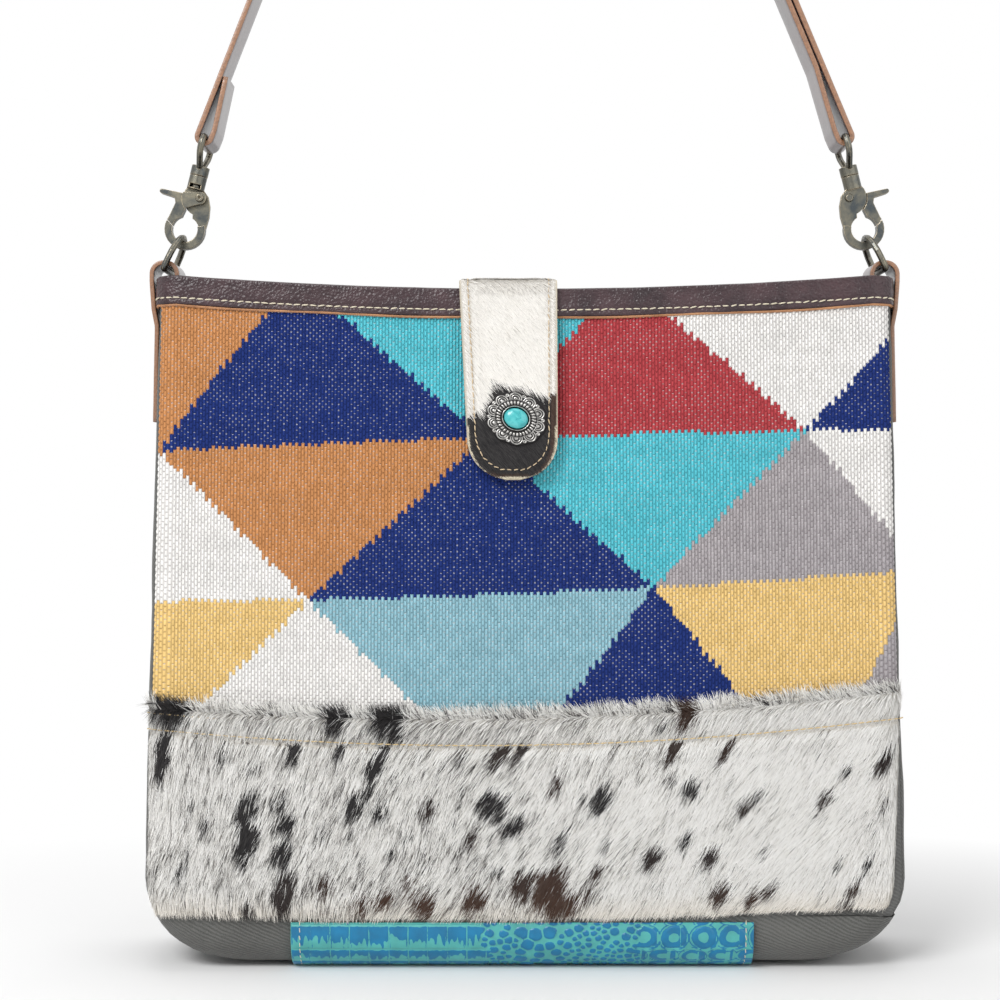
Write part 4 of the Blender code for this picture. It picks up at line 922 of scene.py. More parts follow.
def throughThree(x, values):
    # a smooth line through the left, middle and right values across the front
    share = min(max((x + 0.17) / 0.34, -0.02), 1.02)
    left, middle, right = values
    return left * (1 - share) * (1 - 2 * share) + middle * 4 * share * (1 - share) + right * share * (2 * share - 1)


def hideLevel(run, height):
    across = 2 * run - 1 if 0 <= run <= 1 else 1
    return levelOf(height, across)


def leanAt(place):
    return math.radians(throughThree(place.x, hide["lean"]) + hide["wander"] * noise.noise(place * 22))


def marksAt(place):
    ink = brown = 0.0
    angle = leanAt(place)
    side, down = math.cos(angle), math.sin(angle)
    for x, z, halfWidth, halfLength, dark, warm in hide["marks"]:
        dx, dz = place.x * 1000 - x, place.z * 1000 - z
        if abs(dx) > 22 or abs(dz) > 22:
            continue
        wide, long = dx * side - dz * down, dx * down + dz * side
        reach = (wide / halfWidth) ** 2 + (long / halfLength) ** 2
        amount = dark * max(0.0, 1.25 - reach ** 0.8 * 0.8)
        if amount > ink:
            ink, brown = amount, warm
    # loose grey flecks between the marks, more of them low in the middle
    fleck = noise.noise(Vector((place.x * 420 + place.z * 180, 3.1, place.z * 120)))
    busy = max(0.0, 1 - abs(place.x + 0.045) / 0.11) * (1 - (place.z - 0.03) / 0.14)
    ink = max(ink, (fleck - 0.42 + 0.34 * busy) * 1.8)
    return min(max(ink, 0), 1), min(1, brown + 0.5 * busy * (place.z < 0.045))


def hideRun(first, last, part):
    # the same pitch in metres on the front and round its corners
    corner, flat = hide["corner"], hide["flat"]
    lead, trail = -first * corner, (last - 1) * corner
    at = part * (lead + trail + flat) - lead
    if at < 0:
        return at / corner
    return 1 + (at - flat) / corner if at > flat else at / flat


def makeHide():
    across, rows = (skirted(evenly(0, 1, hide[name]), hide["edge"]) for name in ("columns", "steps"))
    points, spots = [], []
    for share, shareBack in rows:
        first = -(hide["left"][1] + (hide["left"][0] - hide["left"][1]) * share)
        last = 1 + hide["right"][1] + (hide["right"][0] - hide["right"][1]) * share
        for part, runBack in across:
            run, back = hideRun(first, last, part), max(shareBack, runBack)
            x = innerPoint(run, 2.3).x
            low, high, seam = (throughThree(x, hide[name]) for name in ("bottom", "top", "seam"))
            low += 0.0012 * noise.noise(Vector((x * 60, 2, 0)))
            height = low + (high - low) * share
            level = hideLevel(run, height)
            # the fold at the top stands fuller, and the seam draws the skin in
            out = hide["out"] + 0.0008 * hump(height, high - 0.004, 0.004) - 0.0011 * hump(height, seam, 0.0018)
            here = wallPoint(run, level, out - back)
            here.y -= 0.0006 * noise.noise(Vector((x * 30, 5, height * 30)))
            points.append(here)
            along = (wallPoint(run + 0.002, level, out) - wallPoint(run - 0.002, level, out)).normalized()
            up = (wallPoint(run, level + 0.004, out) - wallPoint(run, level - 0.004, out)).normalized()
            # near the hide's ends the hair lies straight and short
            side = min(part, 1 - part) * 0.34
            angle = leanAt(here) * (0.25 + 0.75 * min(1, side / 0.010))
            flow = -up * math.cos(angle) - along * math.sin(angle)
            ink, brown = marksAt(here + flow * hide["hair"][1] * 0.45)
            spots.append({
                "flow": flow, "ink": ink, "brown": brown,
                "hair": 0 if back > 0.001 else 1 - 0.95 * hump(height, seam, 0.0010),
                "warm": max(0, 1 - (height - low) / 0.014) * 0.8,
                "reach": min(1, 0.35 + (height - low) / 0.008, 0.4 + side / 0.006),
                "clean": 0.5 * min(max(here.x / 0.13 + 0.2, 0), 1),
            })
    faces = gridFaces(len(rows), len(across))
    skin = addPiece("hideSkin", points, faces, hairSkin, None, "bag", ("hide_panel",))
    addHairData(skin, spots)
    growHair("hideHairUnder", skin, hide["hair"], 3, lift=0.6)
    growHair("hideHairOver", skin, hide["hair"], 8)


def makeFringe():
    # hair of the turned-over top edge, which stands up past the fold
    runs = evenRuns(-hide["left"][0], 1 + hide["right"][0], hide["pitch"])
    points, spots = [], []
    for rise, out in ((-0.0012, 0.0058), (0.0006, 0.0062), (0.0016, 0.0052), (0.0019, 0.0040)):
        for run in runs:
            x = innerPoint(run, 2.3).x
            here = wallPoint(run, hideLevel(run, throughThree(x, hide["top"]) + rise), out)
            points.append(here)
            lean = 0.55 + 0.9 * noise.noise(Vector((x * 60, 0, 4)))
            ink, brown = marksAt(here - Vector((0.002, 0, 0.004)))
            flow = Vector((-lean, -0.55, 1)).normalized()
            spots.append({"flow": flow, "ink": ink, "brown": brown, "hair": 1.0, "reach": 1.0})
    fold = addPiece("hideFold", points, gridFaces(4, len(runs)), hairSkin, None, "bag")
    addHairData(fold, spots)
    growHair("hideFringe", fold, hide["fringe"], 5)


# stitches: short threads laid along a line, one tree for every seam

# pitch, length, radius and slant of each seam's threads
threads = {
    "hide": (0.0034, 0.0032, 0.00030, 0.05), "binding": (0.0038, 0.0035, 0.00034, 0.08),
    "patch": (0.0034, 0.0028, 0.00022, 0.1), "tab": (0.0031, 0.0030, 0.00028, 0.1),
    "sideTab": (0.0034, 0.0028, 0.0003, 0.08), "strap": (0.0036, 0.0030, 0.0003, 0.08),
}


def threadMaterial(name, colour):
    mat, into = newMaterial(name, 0.8)
    fuzz = noiseAt(objectPlace(), 2200, 2)
    feed(ramp(fuzz, [(0.3, toned(colour, 0.72)), (0.7, colour)]), into["Base Color"])
    feed(bumped(fuzz, 0.0001), into["Normal"])
    return mat


def makeStitchTree():
    tree, given, out = geometryTree("stitches", {
        "Pitch": 0.0038, "Length": 0.0030, "Radius": 0.0003, "Slant": 0.08, "Seed": 2, "Finish": "Material"})
    line = filled(geo("MeshToCurve"), given["Geometry"])
    marks = wired(geo("CurveToPoints", mode="LENGTH"), Curve=line, Length=given["Pitch"])
    # each thread is a thin rod that dips into its holes at both ends
    along, around = partsOf(geo("InputPosition").outputs[0])[:2]
    turn = times(around, math.pi * 1.15)
    taper = minus(1, power(calc("ABSOLUTE", times(along, 2)), 4))
    girth = times(given["Radius"], scaled(taper, 0.85, 0.15))
    dip = times(minus(taper, 1), times(given["Radius"], 1.6))
    place = vectorOf(times(along, given["Length"]), times(girth, calc("SINE", turn)),
                     scaled(girth, calc("COSINE", turn), dip))
    rod = wired(geo("SetPosition"), Geometry=gridOf(6, 6), Position=place)[0]
    lay = filled(add("AxesToRotation", "FunctionNode", primary_axis="X", secondary_axis="Z"),
                 marks["Tangent"], named("out", "FLOAT_VECTOR"))
    slant = vectorOf(0, 0, randomTo(times(given["Slant"], -1), times(given["Slant"], 3), given["Seed"]))
    planted(marks["Points"], rod, turnedBy(lay, slant), None, given["Finish"], out)
    return tree


stitchTree = makeStitchTree()
creamThread = threadMaterial("creamThread", (0.80, 0.72, 0.55))
goldThread = threadMaterial("goldThread", (0.74, 0.56, 0.30))
tanThread = threadMaterial("tanThread", (0.72, 0.56, 0.36))


def seamLine(name, seam, places, outs, finish, body="bag", closed=False):
    # threads along the places, lifted in the direction that each place faces
    mesh = bpy.data.meshes.new(name + "Line")
    count = len(places)
    edges = [(i, i + 1) for i in range(count - 1)] + ([(count - 1, 0)] if closed else [])
    mesh.from_pydata([tuple(place) for place in places], edges, [])
    addAttribute(mesh, "out", outs, kind="FLOAT_VECTOR")
    line = bpy.data.objects.new(name + "Line", mesh)
    values = dict(zip(("Pitch", "Length", "Radius", "Slant"), threads[seam]))
    piece = grown(name, line, stitchTree, {**values, "Seed": 2, "Finish": finish}, body)
    bpy.data.objects.remove(line, do_unlink=True)
    return piece


def wallOut(run, level):
    return (wallPoint(run, level, 0.002) - wallPoint(run, level, 0)).normalized()


def makeHideSeams():
    runs = evenRuns(-hide["left"][0] + 0.04, 1 + hide["right"][0] - 0.04, 0.003)
    rows = {"hideSeam": (runs, 0), "hideSeamShort": (runs[:10], 0.0075)}
    for name, (marks, above) in rows.items():
        places, outs = [], []
        for run in marks:
            level = hideLevel(run, throughThree(innerPoint(run, 2.3).x, hide["seam"]) + above)
            places.append(wallPoint(run, level, hide["out"] + 0.0007))
            outs.append(wallOut(run, level))
        seamLine(name, "hide", places, outs, goldThread)


# rim binding, with its saddle stitches and raw lower edge

bindingLook = {
    "runPitch": 0.003, "stitch": 0.0091, "wrinkle": 0.00045, "edgeDrop": 0.0006, "round": 0.0016,
    # the raw edge's section: how far it stands back from the outer face, and how high over its lower line
    "raw": ((0.0012, 0.0012), (0.0003, 0.0009), (0.00015, 0.0004), (0.0012, 0.0)),
}


def bindingSection(inner, outer, crown):
    # down the outer face, over the rim and down the inside
    drop, curve = wall["bindingDrop"], bindingLook["round"]
    tall = drop + crown - curve
    middle, half = (inner + outer) / 2, (outer - inner) / 2
    section = [(outer - 0.0012, -drop), (outer - 0.0004, -drop - 0.0001), (outer - 0.0001, -drop + 0.0004)]
    section += [(outer, -drop + share * tall) for share in (0.08, 0.18, 0.28, 0.34, 0.4, 0.55, 0.75, 0.95)]
    for angle in evenly(0, math.pi, 12):
        bend = math.cos(angle)
        out = middle + math.copysign(abs(bend) ** 0.55, bend) * half
        section.append((out, crown - curve + curve * max(math.sin(angle), 0) ** 0.8))
    section += [(inner, -drop + share * tall) for share in (0.75, 0.4, 0.08)]
    return section + [(inner + 0.0003, -drop), (inner + 0.0012, -drop)]


def makeBinding():
    inner, outer, drop = -wall["gap"] - wall["binding"], bindingFace, wall["bindingDrop"]
    section = bindingSection(inner, outer, wall["gap"] + wall["binding"])
    runs = evenRuns(0, 8, bindingLook["runPitch"], 3)[:-1]
    points = []
    for out, rise in section:
        facing = 1 if out > (inner + outer) / 2 else -1
        groove = hump(rise, -bindingLook["stitch"], 0.0009) * 0.00035
        for run in runs:
            crease = bindingLook["wrinkle"] * noise.noise(Vector((run * 26, rise * 260, out * 200)))
            points.append(rimPoint(run, rise, out - facing * (groove - crease)))
    faces = gridFaces(len(section), len(runs), True)
    addPiece("rimBinding", points, faces, bindingLeather, None, "bag", ("top_binding",))
    # the raw edge of the leather shows as a tan line under it
    points = []
    for back, up in bindingLook["raw"]:
        for run in runs:
            low = -drop - 0.0004 - 0.0003 * math.sin(run * 23) - bindingLook["edgeDrop"]
            points.append(rimPoint(run, low + up, outer - back))
    faces = turned(gridFaces(len(bindingLook["raw"]), len(runs), True))
    addPiece("bindingEdge", points, faces, rawEdge, None, "bag")
    for name, face, sign in (("bindingStitch", outer, 1), ("bindingStitchInside", inner, -1)):
        places = [rimPoint(run, -bindingLook["stitch"], face + sign * 0.0001) for run in runs]
        outs = [wallOut(run, 3) * sign for run in runs]
        seamLine(name, "binding", places, outs, creamThread, closed=True)


# embossed base patch

patch = {
    "left": -0.108, "right": 0.105, "top": 0.0225, "high": 0.0053, "pitch": 0.00052, "deep": 0.00045,
    "blue": (0.000, 0.170, 0.350), "teal": (0.075, 0.400, 0.380), "ridge": 0.0098, "plates": -0.022, "loops": 0.048,
    "plate": 0.0090, "loop": 0.0135, "squash": 1.15, "tries": 9000, "seed": 12,
    "foot": 0.0055, "turn": 0.02, "underRows": 20, "edge": 0.0014, "stitchLeft": 0.0042, "stitchRight": 0.0036,
}


def patchPebbles():
    random.seed(patch["seed"])
    spots = []
    for _ in range(patch["tries"]):
        x, up = random.uniform(patch["plates"] - 0.008, patch["loops"] + 0.012), random.uniform(-0.100, 0.026)
        size = random.choice((0.0046, 0.0062) if abs(x - 0.006) < 0.010 else (0.0024, 0.0030, 0.0040))
        if all(math.hypot(x - a, (up - b) * patch["squash"]) > (size + c) * 0.5 for a, b, c in spots):
            spots.append((x, up, size))
    return spots, [[random.random() for _ in range(6)] for _ in range(80)]


def patchTone(x, up, tree, spots, draws):
    # how teal a place is, 0.5 being the border, and how high it stands
    ridge = 1 - abs(up - patch["ridge"]) / 0.0008
    joint = 0.00035
    cell = (x - patch["left"]) / patch["plate"] + 0.07 * math.sin(x * 700)
    row = 0.0118 if up > patch["ridge"] else 0.0080
    share = ((up - patch["ridge"]) / row) % 1
    off = abs(cell - math.floor(cell) - 0.5)
    edge = (0.5 - off) * patch["plate"]
    draw = draws[int(cell) * 2 + (up > patch["ridge"])]
    jag = noise.noise(Vector((x * 520, up * 150, 2)))
    blob = min(1.5 - off / 0.30, (0.30 + 0.34 * draw[0] + 0.45 * jag - share) * 5) * 0.6 + 0.35
    foot = 0.5 + (joint + 0.0024 * max(0, 0.40 - share) * (0.4 + draw[1]) - edge) * 900
    frame = 0.5 + (share - 0.93 + 0.05 * jag) * 12
    plate = max(blob, min(foot, 1), ridge, frame), min(1, min(edge, share * row, (1 - share) * row) / 0.0008)
    (_, first, near), (_, second, far) = tree.find_n(Vector((x, up * patch["squash"], 0)), 2)
    gap = (far - spots[second][2] * 0.5) - (near - spots[first][2] * 0.5)
    inside = min(gap - 0.00075, (spots[first][2] * 0.56 - near) * 1.4)
    pebble = 0.5 - inside / 0.0007, min(1, max(0, inside) / 0.0006)
    turn = (x - patch["loops"]) / patch["loop"] + (0.35 if up < patch["ridge"] else 0)
    draw = draws[40 + int(turn + 4) * 2 + (up > patch["ridge"])]
    side = (turn - math.floor(turn) - 0.5) * 2
    tall = 2 * share - 1 + 0.25 * noise.noise(Vector((x * 130, up * 130, 4)))
    ring = math.hypot(side * (0.85 + 0.3 * draw[0]), tall * 0.9)
    stroke = 1 - abs(ring - 0.62) / (0.20 + 0.16 * draw[1])
    if side > 0.15 + 0.4 * draw[2]:
        stroke = 1 - abs(side - 0.66) / (0.13 + 0.2 * draw[3]) if abs(tall) < 0.75 else 0
    outline = 1 - abs(ring - 1.02) / 0.07
    groove = 1 - abs(abs(up - patch["ridge"]) - 0.0011) / 0.0006
    marks = max(0, min(1, 2.2 * stroke), min(1, 1.4 * outline), min(1, groove * 1.2) * (0.6 + 0.4 * math.sin(x * 900)))
    loop = 0.92 - 0.80 * marks, min(1, abs(ring - 0.88) / 0.12)
    # one pattern gives way to the next
    lead = min(max((x - patch["plates"]) / 0.008 + 0.8 * noise.noise(Vector((x * 180, up * 180, 0))), 0), 1)
    trail = min(max((x - patch["loops"]) / 0.008 + 0.8 * noise.noise(Vector((x * 180, up * 180, 5))), 0), 1)
    return plate if lead < 0.5 else (pebble if trail < 0.5 else loop)


def patchMaterial():
    mat, into = newMaterial("embossedLeather", 0.30)
    place = objectPlace()
    jag = noiseAt(mul(place, (1.6, 1, 0.5)), 520, 3, 0.65)
    level = plus(attribute("plate"), scaled(jag, 0.8, -0.40))
    shade = noiseAt(place, 130, 3)
    teal, blue = (
        ramp(shade, [(0.3, toned(patch[name], low)), (0.7, toned(patch[name], high))])
        for name, low, high in (("teal", 0.85, 1.12), ("blue", 0.8, 1.15)))
    feed(mixed(ramp(level, [(0.47, 0.0), (0.53, 1.0)]), blue, teal), into["Base Color"])
    grain = useGroup(grainGroup, Along=place, Scale=1600.0)
    feed(bumped(scaled(grain["Height"], 0.25, jag), 0.00008), into["Normal"])
    into["Coat Weight"].default_value = 0.08
    into["Coat Roughness"].default_value = 0.25
    return mat


def makePatch():
    spots, draws = patchPebbles()
    tree = kdtree.KDTree(len(spots))
    for i, (x, up, _) in enumerate(spots):
        tree.insert(Vector((x, up * patch["squash"], 0)), i)
    tree.balance()
    # a path from the front's upper edge down, under the base and up the back
    steps = round((patch["top"] + 0.008) / patch["pitch"])
    front = [levelOf(height, 0) for height in evenly(patch["top"], patch["foot"], steps)]
    front = [level for level in front if level > 0.05] + [patch["turn"]]
    path = [("front", level) for level in front] + [("under", share) for share in evenly(0, 1, patch["underRows"])]
    path += [("back", level) for level in reversed(front)]
    count = round((patch["right"] - patch["left"]) / patch["pitch"])
    xs = skirted(evenly(patch["left"], patch["right"], count), patch["edge"])

    def spot(kind, mark, x, out):
        if kind == "under":
            return spot("front", patch["turn"], x, out).lerp(spot("back", patch["turn"], x, out), mark)
        halfWidth, _, radius = wallSize(levelHeight(mark, 0))
        run = (x / (halfWidth - radius) + 1) / 2
        return wallPoint(run if kind == "front" else 5 - run, mark, out)

    points, plates = [], []
    marked = [(path[0], patch["edge"]), *[(mark, 0) for mark in path], (path[-1], patch["edge"])]
    up = patch["top"]
    last = None
    for (kind, mark), back in marked:
        middle = spot(kind, mark, 0, patch["high"])
        up -= (middle - last).length if last else 0
        last = middle
        for x, side in xs:
            tone, height = patchTone(x, up, tree, spots, draws)
            stand = max(side, back) if max(side, back) > 0.0005 else 0
            relief = 0 if kind == "under" else 0.0002 - patch["deep"] * (1 - height)
            here = spot(kind, mark, x, patch["high"] - stand + relief)
            here.z = max(here.z, 0.0)
            points.append(here)
            plates.append(tone)
    piece = addPiece("basePatch", points, turned(gridFaces(len(marked), len(xs))),
                     patchMaterial(), None, "bag", ("base_patch",))
    addAttribute(piece.data, "plate", plates)
    left, right = patch["left"] + patch["stitchLeft"], patch["right"] - patch["stitchRight"]
    for name, x in (("patchStitchLeft", left), ("patchStitchRight", right)):
        places = [spot("front", level, x, patch["high"] + 0.0002) for level in front[:-2]]
        outs = [wallOut(0.5, level) for level in front[:-2]]
        seamLine(name, "patch", places, outs, creamThread)


# closure tab: one hide strip from the back of the bag, bent over its mouth and down the front

tab = {
    "x": -0.0065, "slide": (-0.0015, 0.0010), "topWidth": 0.046, "endWidth": 0.041, "end": 0.2256,
    "backing": 0.0012, "hide": 0.0020, "bend": 0.0012, "anchorLength": 0.055, "sewn": 0.0562,
    "standoff": 0.0017, "gap": 0.0003, "round": 0.0205, "pitch": 0.0009, "columns": 46, "seam": 0.0040, "lean": 38,
    # density, length, width, lift and wander of the hair, and where its dark end begins from left to right
    "hair": (1.9e6, 0.0058, 0.00026, 0.045, 0.14),
    "fade": ((-0.027, 0.2550), (-0.021, 0.2575), (-0.0165, 0.2725), (-0.004, 0.2700), (0.010, 0.2665), (0.020, 0.2650)),
    # the line along which the strip passes from the bag to the closure
    "blend": {"start": (0, 0.0262, 0.3187), "end": (0, 0.0185, 0.3187)},
}


def tabFrames():
    # the strip's inner face in YZ with its outward direction, from its sewn end up the back, over, and down the front
    gap, bend, flat = tab["gap"], tab["bend"], wall["frontFlat"]
    run = (tab["x"] / (flat / 2) + 1) / 2
    clear = bindingFace + gap
    sides = [(side * tab["topWidth"] / 2 + tab["x"]) / flat + 0.5 for side in (-1, 1)]
    top = max(rimPoint(side, gap + wall["binding"], bindingFace).z for side in sides) + gap
    rear, face = rimPoint(5 - run, 0, clear).y - bend, rimPoint(run, -0.0010, clear).y + bend
    places = [rimPoint(5 - run, -drop, clear) for drop in evenly(tab["anchorLength"], 0.0015, 54)]
    line = [(place.y, place.z) for place in places]

    def corner(y, low, high):
        angles = [math.radians(degrees) for degrees in evenly(low, high, 8)]
        return [(y + bend * math.cos(angle), top - bend + bend * math.sin(angle)) for angle in angles]

    line += corner(rear, 0, 90)
    line += [(rear + (face - rear) * share, top) for share in evenly(0, 1, 34)[1:-1]]
    line += corner(face, 90, 180)
    first = wall["rim"] - wall["bindingDrop"] - wall["rimSag"]
    for height in evenly(first + 0.011, tab["end"], round((first + 0.011 - tab["end"]) / tab["pitch"])):
        out = clear + tab["standoff"] * min(max((first - height) / 0.038, 0), 1)
        place = wallPoint(run, levelOf(height, 0), out)
        line.append((place.y, place.z))
    line = [Vector(point) for point in line]
    frames = []
    for i, here in enumerate(line):
        along = (line[min(i + 1, len(line) - 1)] - line[max(i - 1, 0)]).normalized()
        frames.append((here, Vector((along.y, -along.x)), along))
    return frames


def tabLengths(frames):
    lengths = [0.0]
    for (before, _, _), (after, _, _) in zip(frames, frames[1:]):
        lengths.append(lengths[-1] + (after - before).length)
    return lengths


def roundEnd(left, reach):
    # how much of its half width the strip keeps that near its rounded end
    return max(1 - (1 - left / reach) ** 2.4, 0.0) ** (1 / 2.1)


def tabShare(place):
    return min(max((wall["rim"] - place.y) / (wall["rim"] - tab["end"]), 0), 1)


def tabHalf(place, left):
    half = (tab["topWidth"] + (tab["endWidth"] - tab["topWidth"]) * tabShare(place)) / 2
    return half * roundEnd(left, tab["round"]) if place.x < 0 and left < tab["round"] else half


def tabMiddle(place):
    return tab["x"] + tab["slide"][0] + (tab["slide"][1] - tab["slide"][0]) * tabShare(place)


def fadeAt(x):
    stops = tab["fade"]
    for (a, low), (b, high) in zip(stops, stops[1:]):
        if x <= b:
            return low + (high - low) * min(max((x - a) / (b - a), 0), 1)
    return stops[-1][1]


def tabSpot(x, place, along, length, inset, left, middleToSide, share, side):
    # the hair's data at one point of the strip
    angle = math.radians(tab["lean"] + 12 * noise.noise(Vector((x * 60, length * 40, 8))))
    edge = (fadeAt(x) - place.y) + 0.0025 * noise.noise(Vector((x * 420 - place.y * 330, 1, place.y * 60)))
    room = min(inset if share > 0 else inset * 1.6 + 0.001, left)
    return {
        "flow": Vector((math.sin(angle), along.x * math.cos(angle), along.y * math.cos(angle))),
        "ink": min(max(edge / 0.004 + 0.5, 0), 1.0),
        "brown": 0.8 if middleToSide < tab["seam"] or left < 0.004 else 0.0,
        "hair": 0.0 if side or room < 0.0014 else 1 - 0.95 * hump(min(inset, left + 0.002), tab["seam"], 0.0007),
        "reach": min(1.0, max(room - 0.0006, 0.0010) / 0.0060),
        "warm": 0.30, "clean": 1.0,
        "cut": 1.0 if side or min(inset, left) < (0.0010 if left < 0.025 else 0.0004) else 0.0,
    }


def makeTab():
    frames = tabFrames()
    lengths = tabLengths(frames)
    total = lengths[-1]
    low, high = tab["backing"] + tab["gap"], tab["backing"] + tab["gap"] + tab["hide"]
    section = [(-1, low + 0.0003), (-1, high - 0.0005), *[(share, high) for share in evenly(-1, 1, tab["columns"])]]
    section += [(1, high - 0.0005), (1, low + 0.0003), (0.99, low), (0, low), (-0.99, low)]
    points, spots = [], []
    for (here, out, along), length in zip(frames, lengths):
        left, middle = total - length, tabMiddle(here)
        half = tabHalf(here, max(left, 0.00025))
        for share, rise in section:
            x = middle + half * share
            inset = half * (1 - abs(share))
            if length <= tab["sewn"] and rise <= low + 0.0006:
                lift = rise - low + 0.0002
            else:
                lift = rise
            if rise == high:
                lift -= 0.0004 * hump(inset, tab["seam"], 0.0009) + 0.0006 * max(0, 1 - inset / 0.0012) ** 2
                lift += 0.00025 * noise.noise(Vector((x * 90, length * 70, 3)))
            place = here + out * lift
            points.append(Vector((x, place.x, place.y)))
            spot = tabSpot(x, place, along, length, inset, left, middle + half - x, share, rise != high)
            if here.x >= 0:
                spot["ink"] = 0.0
            spots.append(spot)
    rows, wide = len(frames), len(section)
    faces = turned(gridFaces(rows, wide))
    faces += [(j * wide + wide - 1, (j + 1) * wide + wide - 1, (j + 1) * wide, j * wide) for j in range(rows - 1)]
    faces += [tuple(range(wide)), tuple(reversed(range((rows - 1) * wide, rows * wide)))]
    skin = addPiece("tabSkin", points, faces, tabHide, None, None, ("closure_tab", "tab_anchor"))
    addHairData(skin, spots)
    backing = makeTabBacking(frames, lengths, low)
    hairs = [growHair(name, skin, tab["hair"], seed, None) for name, seed in (("tabHairUnder", 4), ("tabHairOver", 9))]
    for piece in (*hairs, makeTabStitches(frames, lengths, high), backing, skin):
        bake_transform(piece)


def makeTabBacking(frames, lengths, low):
    # suede, which thins to nothing under the sewn end
    points, across = [], (-1, -0.99, 0.99, 1)
    for (here, out, _), length in zip(frames, lengths):
        half = max(tabHalf(here, max(lengths[-1] - length, 0.00025)) - 0.0006, 0.0001)
        inside, outside = ([(share, rise) for share in across] for rise in (0.0002, low - 0.0001))
        for share, rise in inside + outside[::-1]:
            place = here + out * (min(rise, 0.0003) if length <= tab["sewn"] else rise)
            points.append(Vector((tabMiddle(here) + half * share, place.x, place.y)))
    ring, last = 2 * len(across), (len(frames) - 1) * 2 * len(across)
    faces = [tuple(reversed(range(ring))), tuple(range(last, last + ring))]
    for j in range(0, last, ring):
        for k in range(ring):
            after = (k + 1) % ring
            faces.append((j + k, j + ring + k, j + ring + after, j + after))
    return addPiece("tabBacking", points, turned(faces), tabSuede, None, None, ("tab_backing",))


def makeTabStitches(frames, lengths, high):
    # the seam runs down one side, round the end and up the other
    rows, reach = [], tab["round"] - tab["seam"] * 0.4
    for (here, out, _), length in zip(frames, lengths):
        left = lengths[-1] - length - tab["seam"]
        if length >= 0.070 and left >= 0:
            inner = tabHalf(here, 1) - tab["seam"]
            if left < reach and here.x < 0:
                inner *= roundEnd(left, reach)
            rows.append((here + out * (high + 0.00025), inner, Vector((0, out.x, out.y)), tabMiddle(here)))
    path = [(Vector((middle - inner, place.x, place.y)), out) for place, inner, out, middle in rows]
    path += [(Vector((middle + inner, place.x, place.y)), out) for place, inner, out, middle in reversed(rows)]
    places, outs = zip(*path)
    return seamLine("tabStitch", "tab", places, outs, tanThread, None)


# concho: petals, a ring of leaves and a bezel round the stone

concho = {
    "place": (0.0022, 0.2540), "turn": -20, "length": 0.0288, "width": 0.0246, "rise": 0.0038,
    "petals": 10, "leaves": 34, "rings": 64, "spokes": 360,
    # where the petals, the rope and the leaves begin, and where the stone's bezel has its foot, of the half width
    "petalRing": 0.72, "ropeRing": 0.685, "leafRing": 0.475, "bezel": 0.415, "first": 0.40,
    "stone": (0.0113, 0.0093, 0.0024), "bands": (18, 72),
}


def conchoSeat():
    frames = tabFrames()
    for (here, out, _), (after, _, _) in zip(frames, frames[1:]):
        if here.x < 0 and here.y >= concho["place"][1] > after.y:
            break
    normal = Vector((0, out.x, out.y)).normalized()
    across = Vector((1, 0, 0))
    seat = Matrix((across, normal.cross(across), normal)).transposed().to_4x4()
    seat.translation = Vector((tab["x"] + concho["place"][0], here.x, here.y))
    return seat @ Matrix.Rotation(math.radians(concho["turn"]), 4, "Z")


def conchoEdge(angle):
    # large petals with a small one between each two
    petal = abs(math.cos(concho["petals"] * angle / 2))
    small = abs(math.sin(concho["petals"] * angle / 2))
    return 0.93 + 0.07 * max(petal ** 0.55, 0.55 * small ** 6)


def conchoHeight(share, angle):
    # height over the plate in mm, and how deep in a recess, from 0 to 1
    petal = (concho["petals"] * angle / (2 * math.pi)) % 1 - 0.5
    off = abs(abs(petal) - 0.5) * 2
    if share > concho["petalRing"]:
        # off is 0 at a petal's middle: two loops, one inside the other, on a dark ground
        reach = math.hypot(off / 0.86, (share - 0.74) / 0.22)
        loops = 0.42 * hump(reach, 0.94, 0.11) + 0.30 * hump(reach, 0.60, 0.10) + 0.34 * hump(reach, 0.1, 0.22)
        between = 0.42 * hump(math.hypot((off - 1) / 0.24, (share - 0.90) / 0.07), 0.6, 0.4)
        height = 0.25 + max(loops, between)
        return height * min(1, (1.004 - share) / 0.015), 1 - min(1, max(loops, between) / 0.26)
    if share > concho["ropeRing"]:
        twist = 0.5 + 0.5 * math.sin(angle * 90 + share * 200)
        height = 0.55 + 0.28 * hump(share, 0.704, 0.014) * (0.6 + 0.4 * twist)
        return height, 0.75 * (1 - twist) * hump(share, 0.704, 0.02)
    if share > concho["leafRing"]:
        leaf = abs(math.sin(concho["leaves"] * angle / 2 + (share - 0.58) * 3))
        fullness = hump(share, 0.585, 0.075)
        height = 0.45 + 0.75 * fullness * leaf ** 0.7
        return height, max(0, 1 - 1.6 * leaf * fullness)
    height = 0.9 + 0.65 * hump(share, 0.445, 0.028) - (0.9 if share < concho["bezel"] else 0)
    return height, 0.8 * hump(share, 0.478, 0.01) + (0.7 if share < concho["bezel"] + 0.003 else 0)


def silverMaterial():
    # silver with black left in the recesses
    mat, into = newMaterial("conchoSilver", 0.28, 1.0)
    patina = noiseAt(objectPlace(), 420, 4, 0.65)
    bright = ramp(patina, [(0.3, (0.20, 0.195, 0.185)), (0.62, (0.62, 0.605, 0.58))])
    hollow = scaled(attribute("hollow"), 1.9, scaled(patina, 0.5, -0.28))
    feed(mixed(calc("MINIMUM", hollow, 0.96), bright, (0.022, 0.021, 0.022)), into["Base Color"])
    feed(scaled(hollow, 0.3, 0.20), into["Roughness"])
    feed(bumped(noiseAt(objectPlace(), 2400, 3), 0.00003), into["Normal"])
    return mat


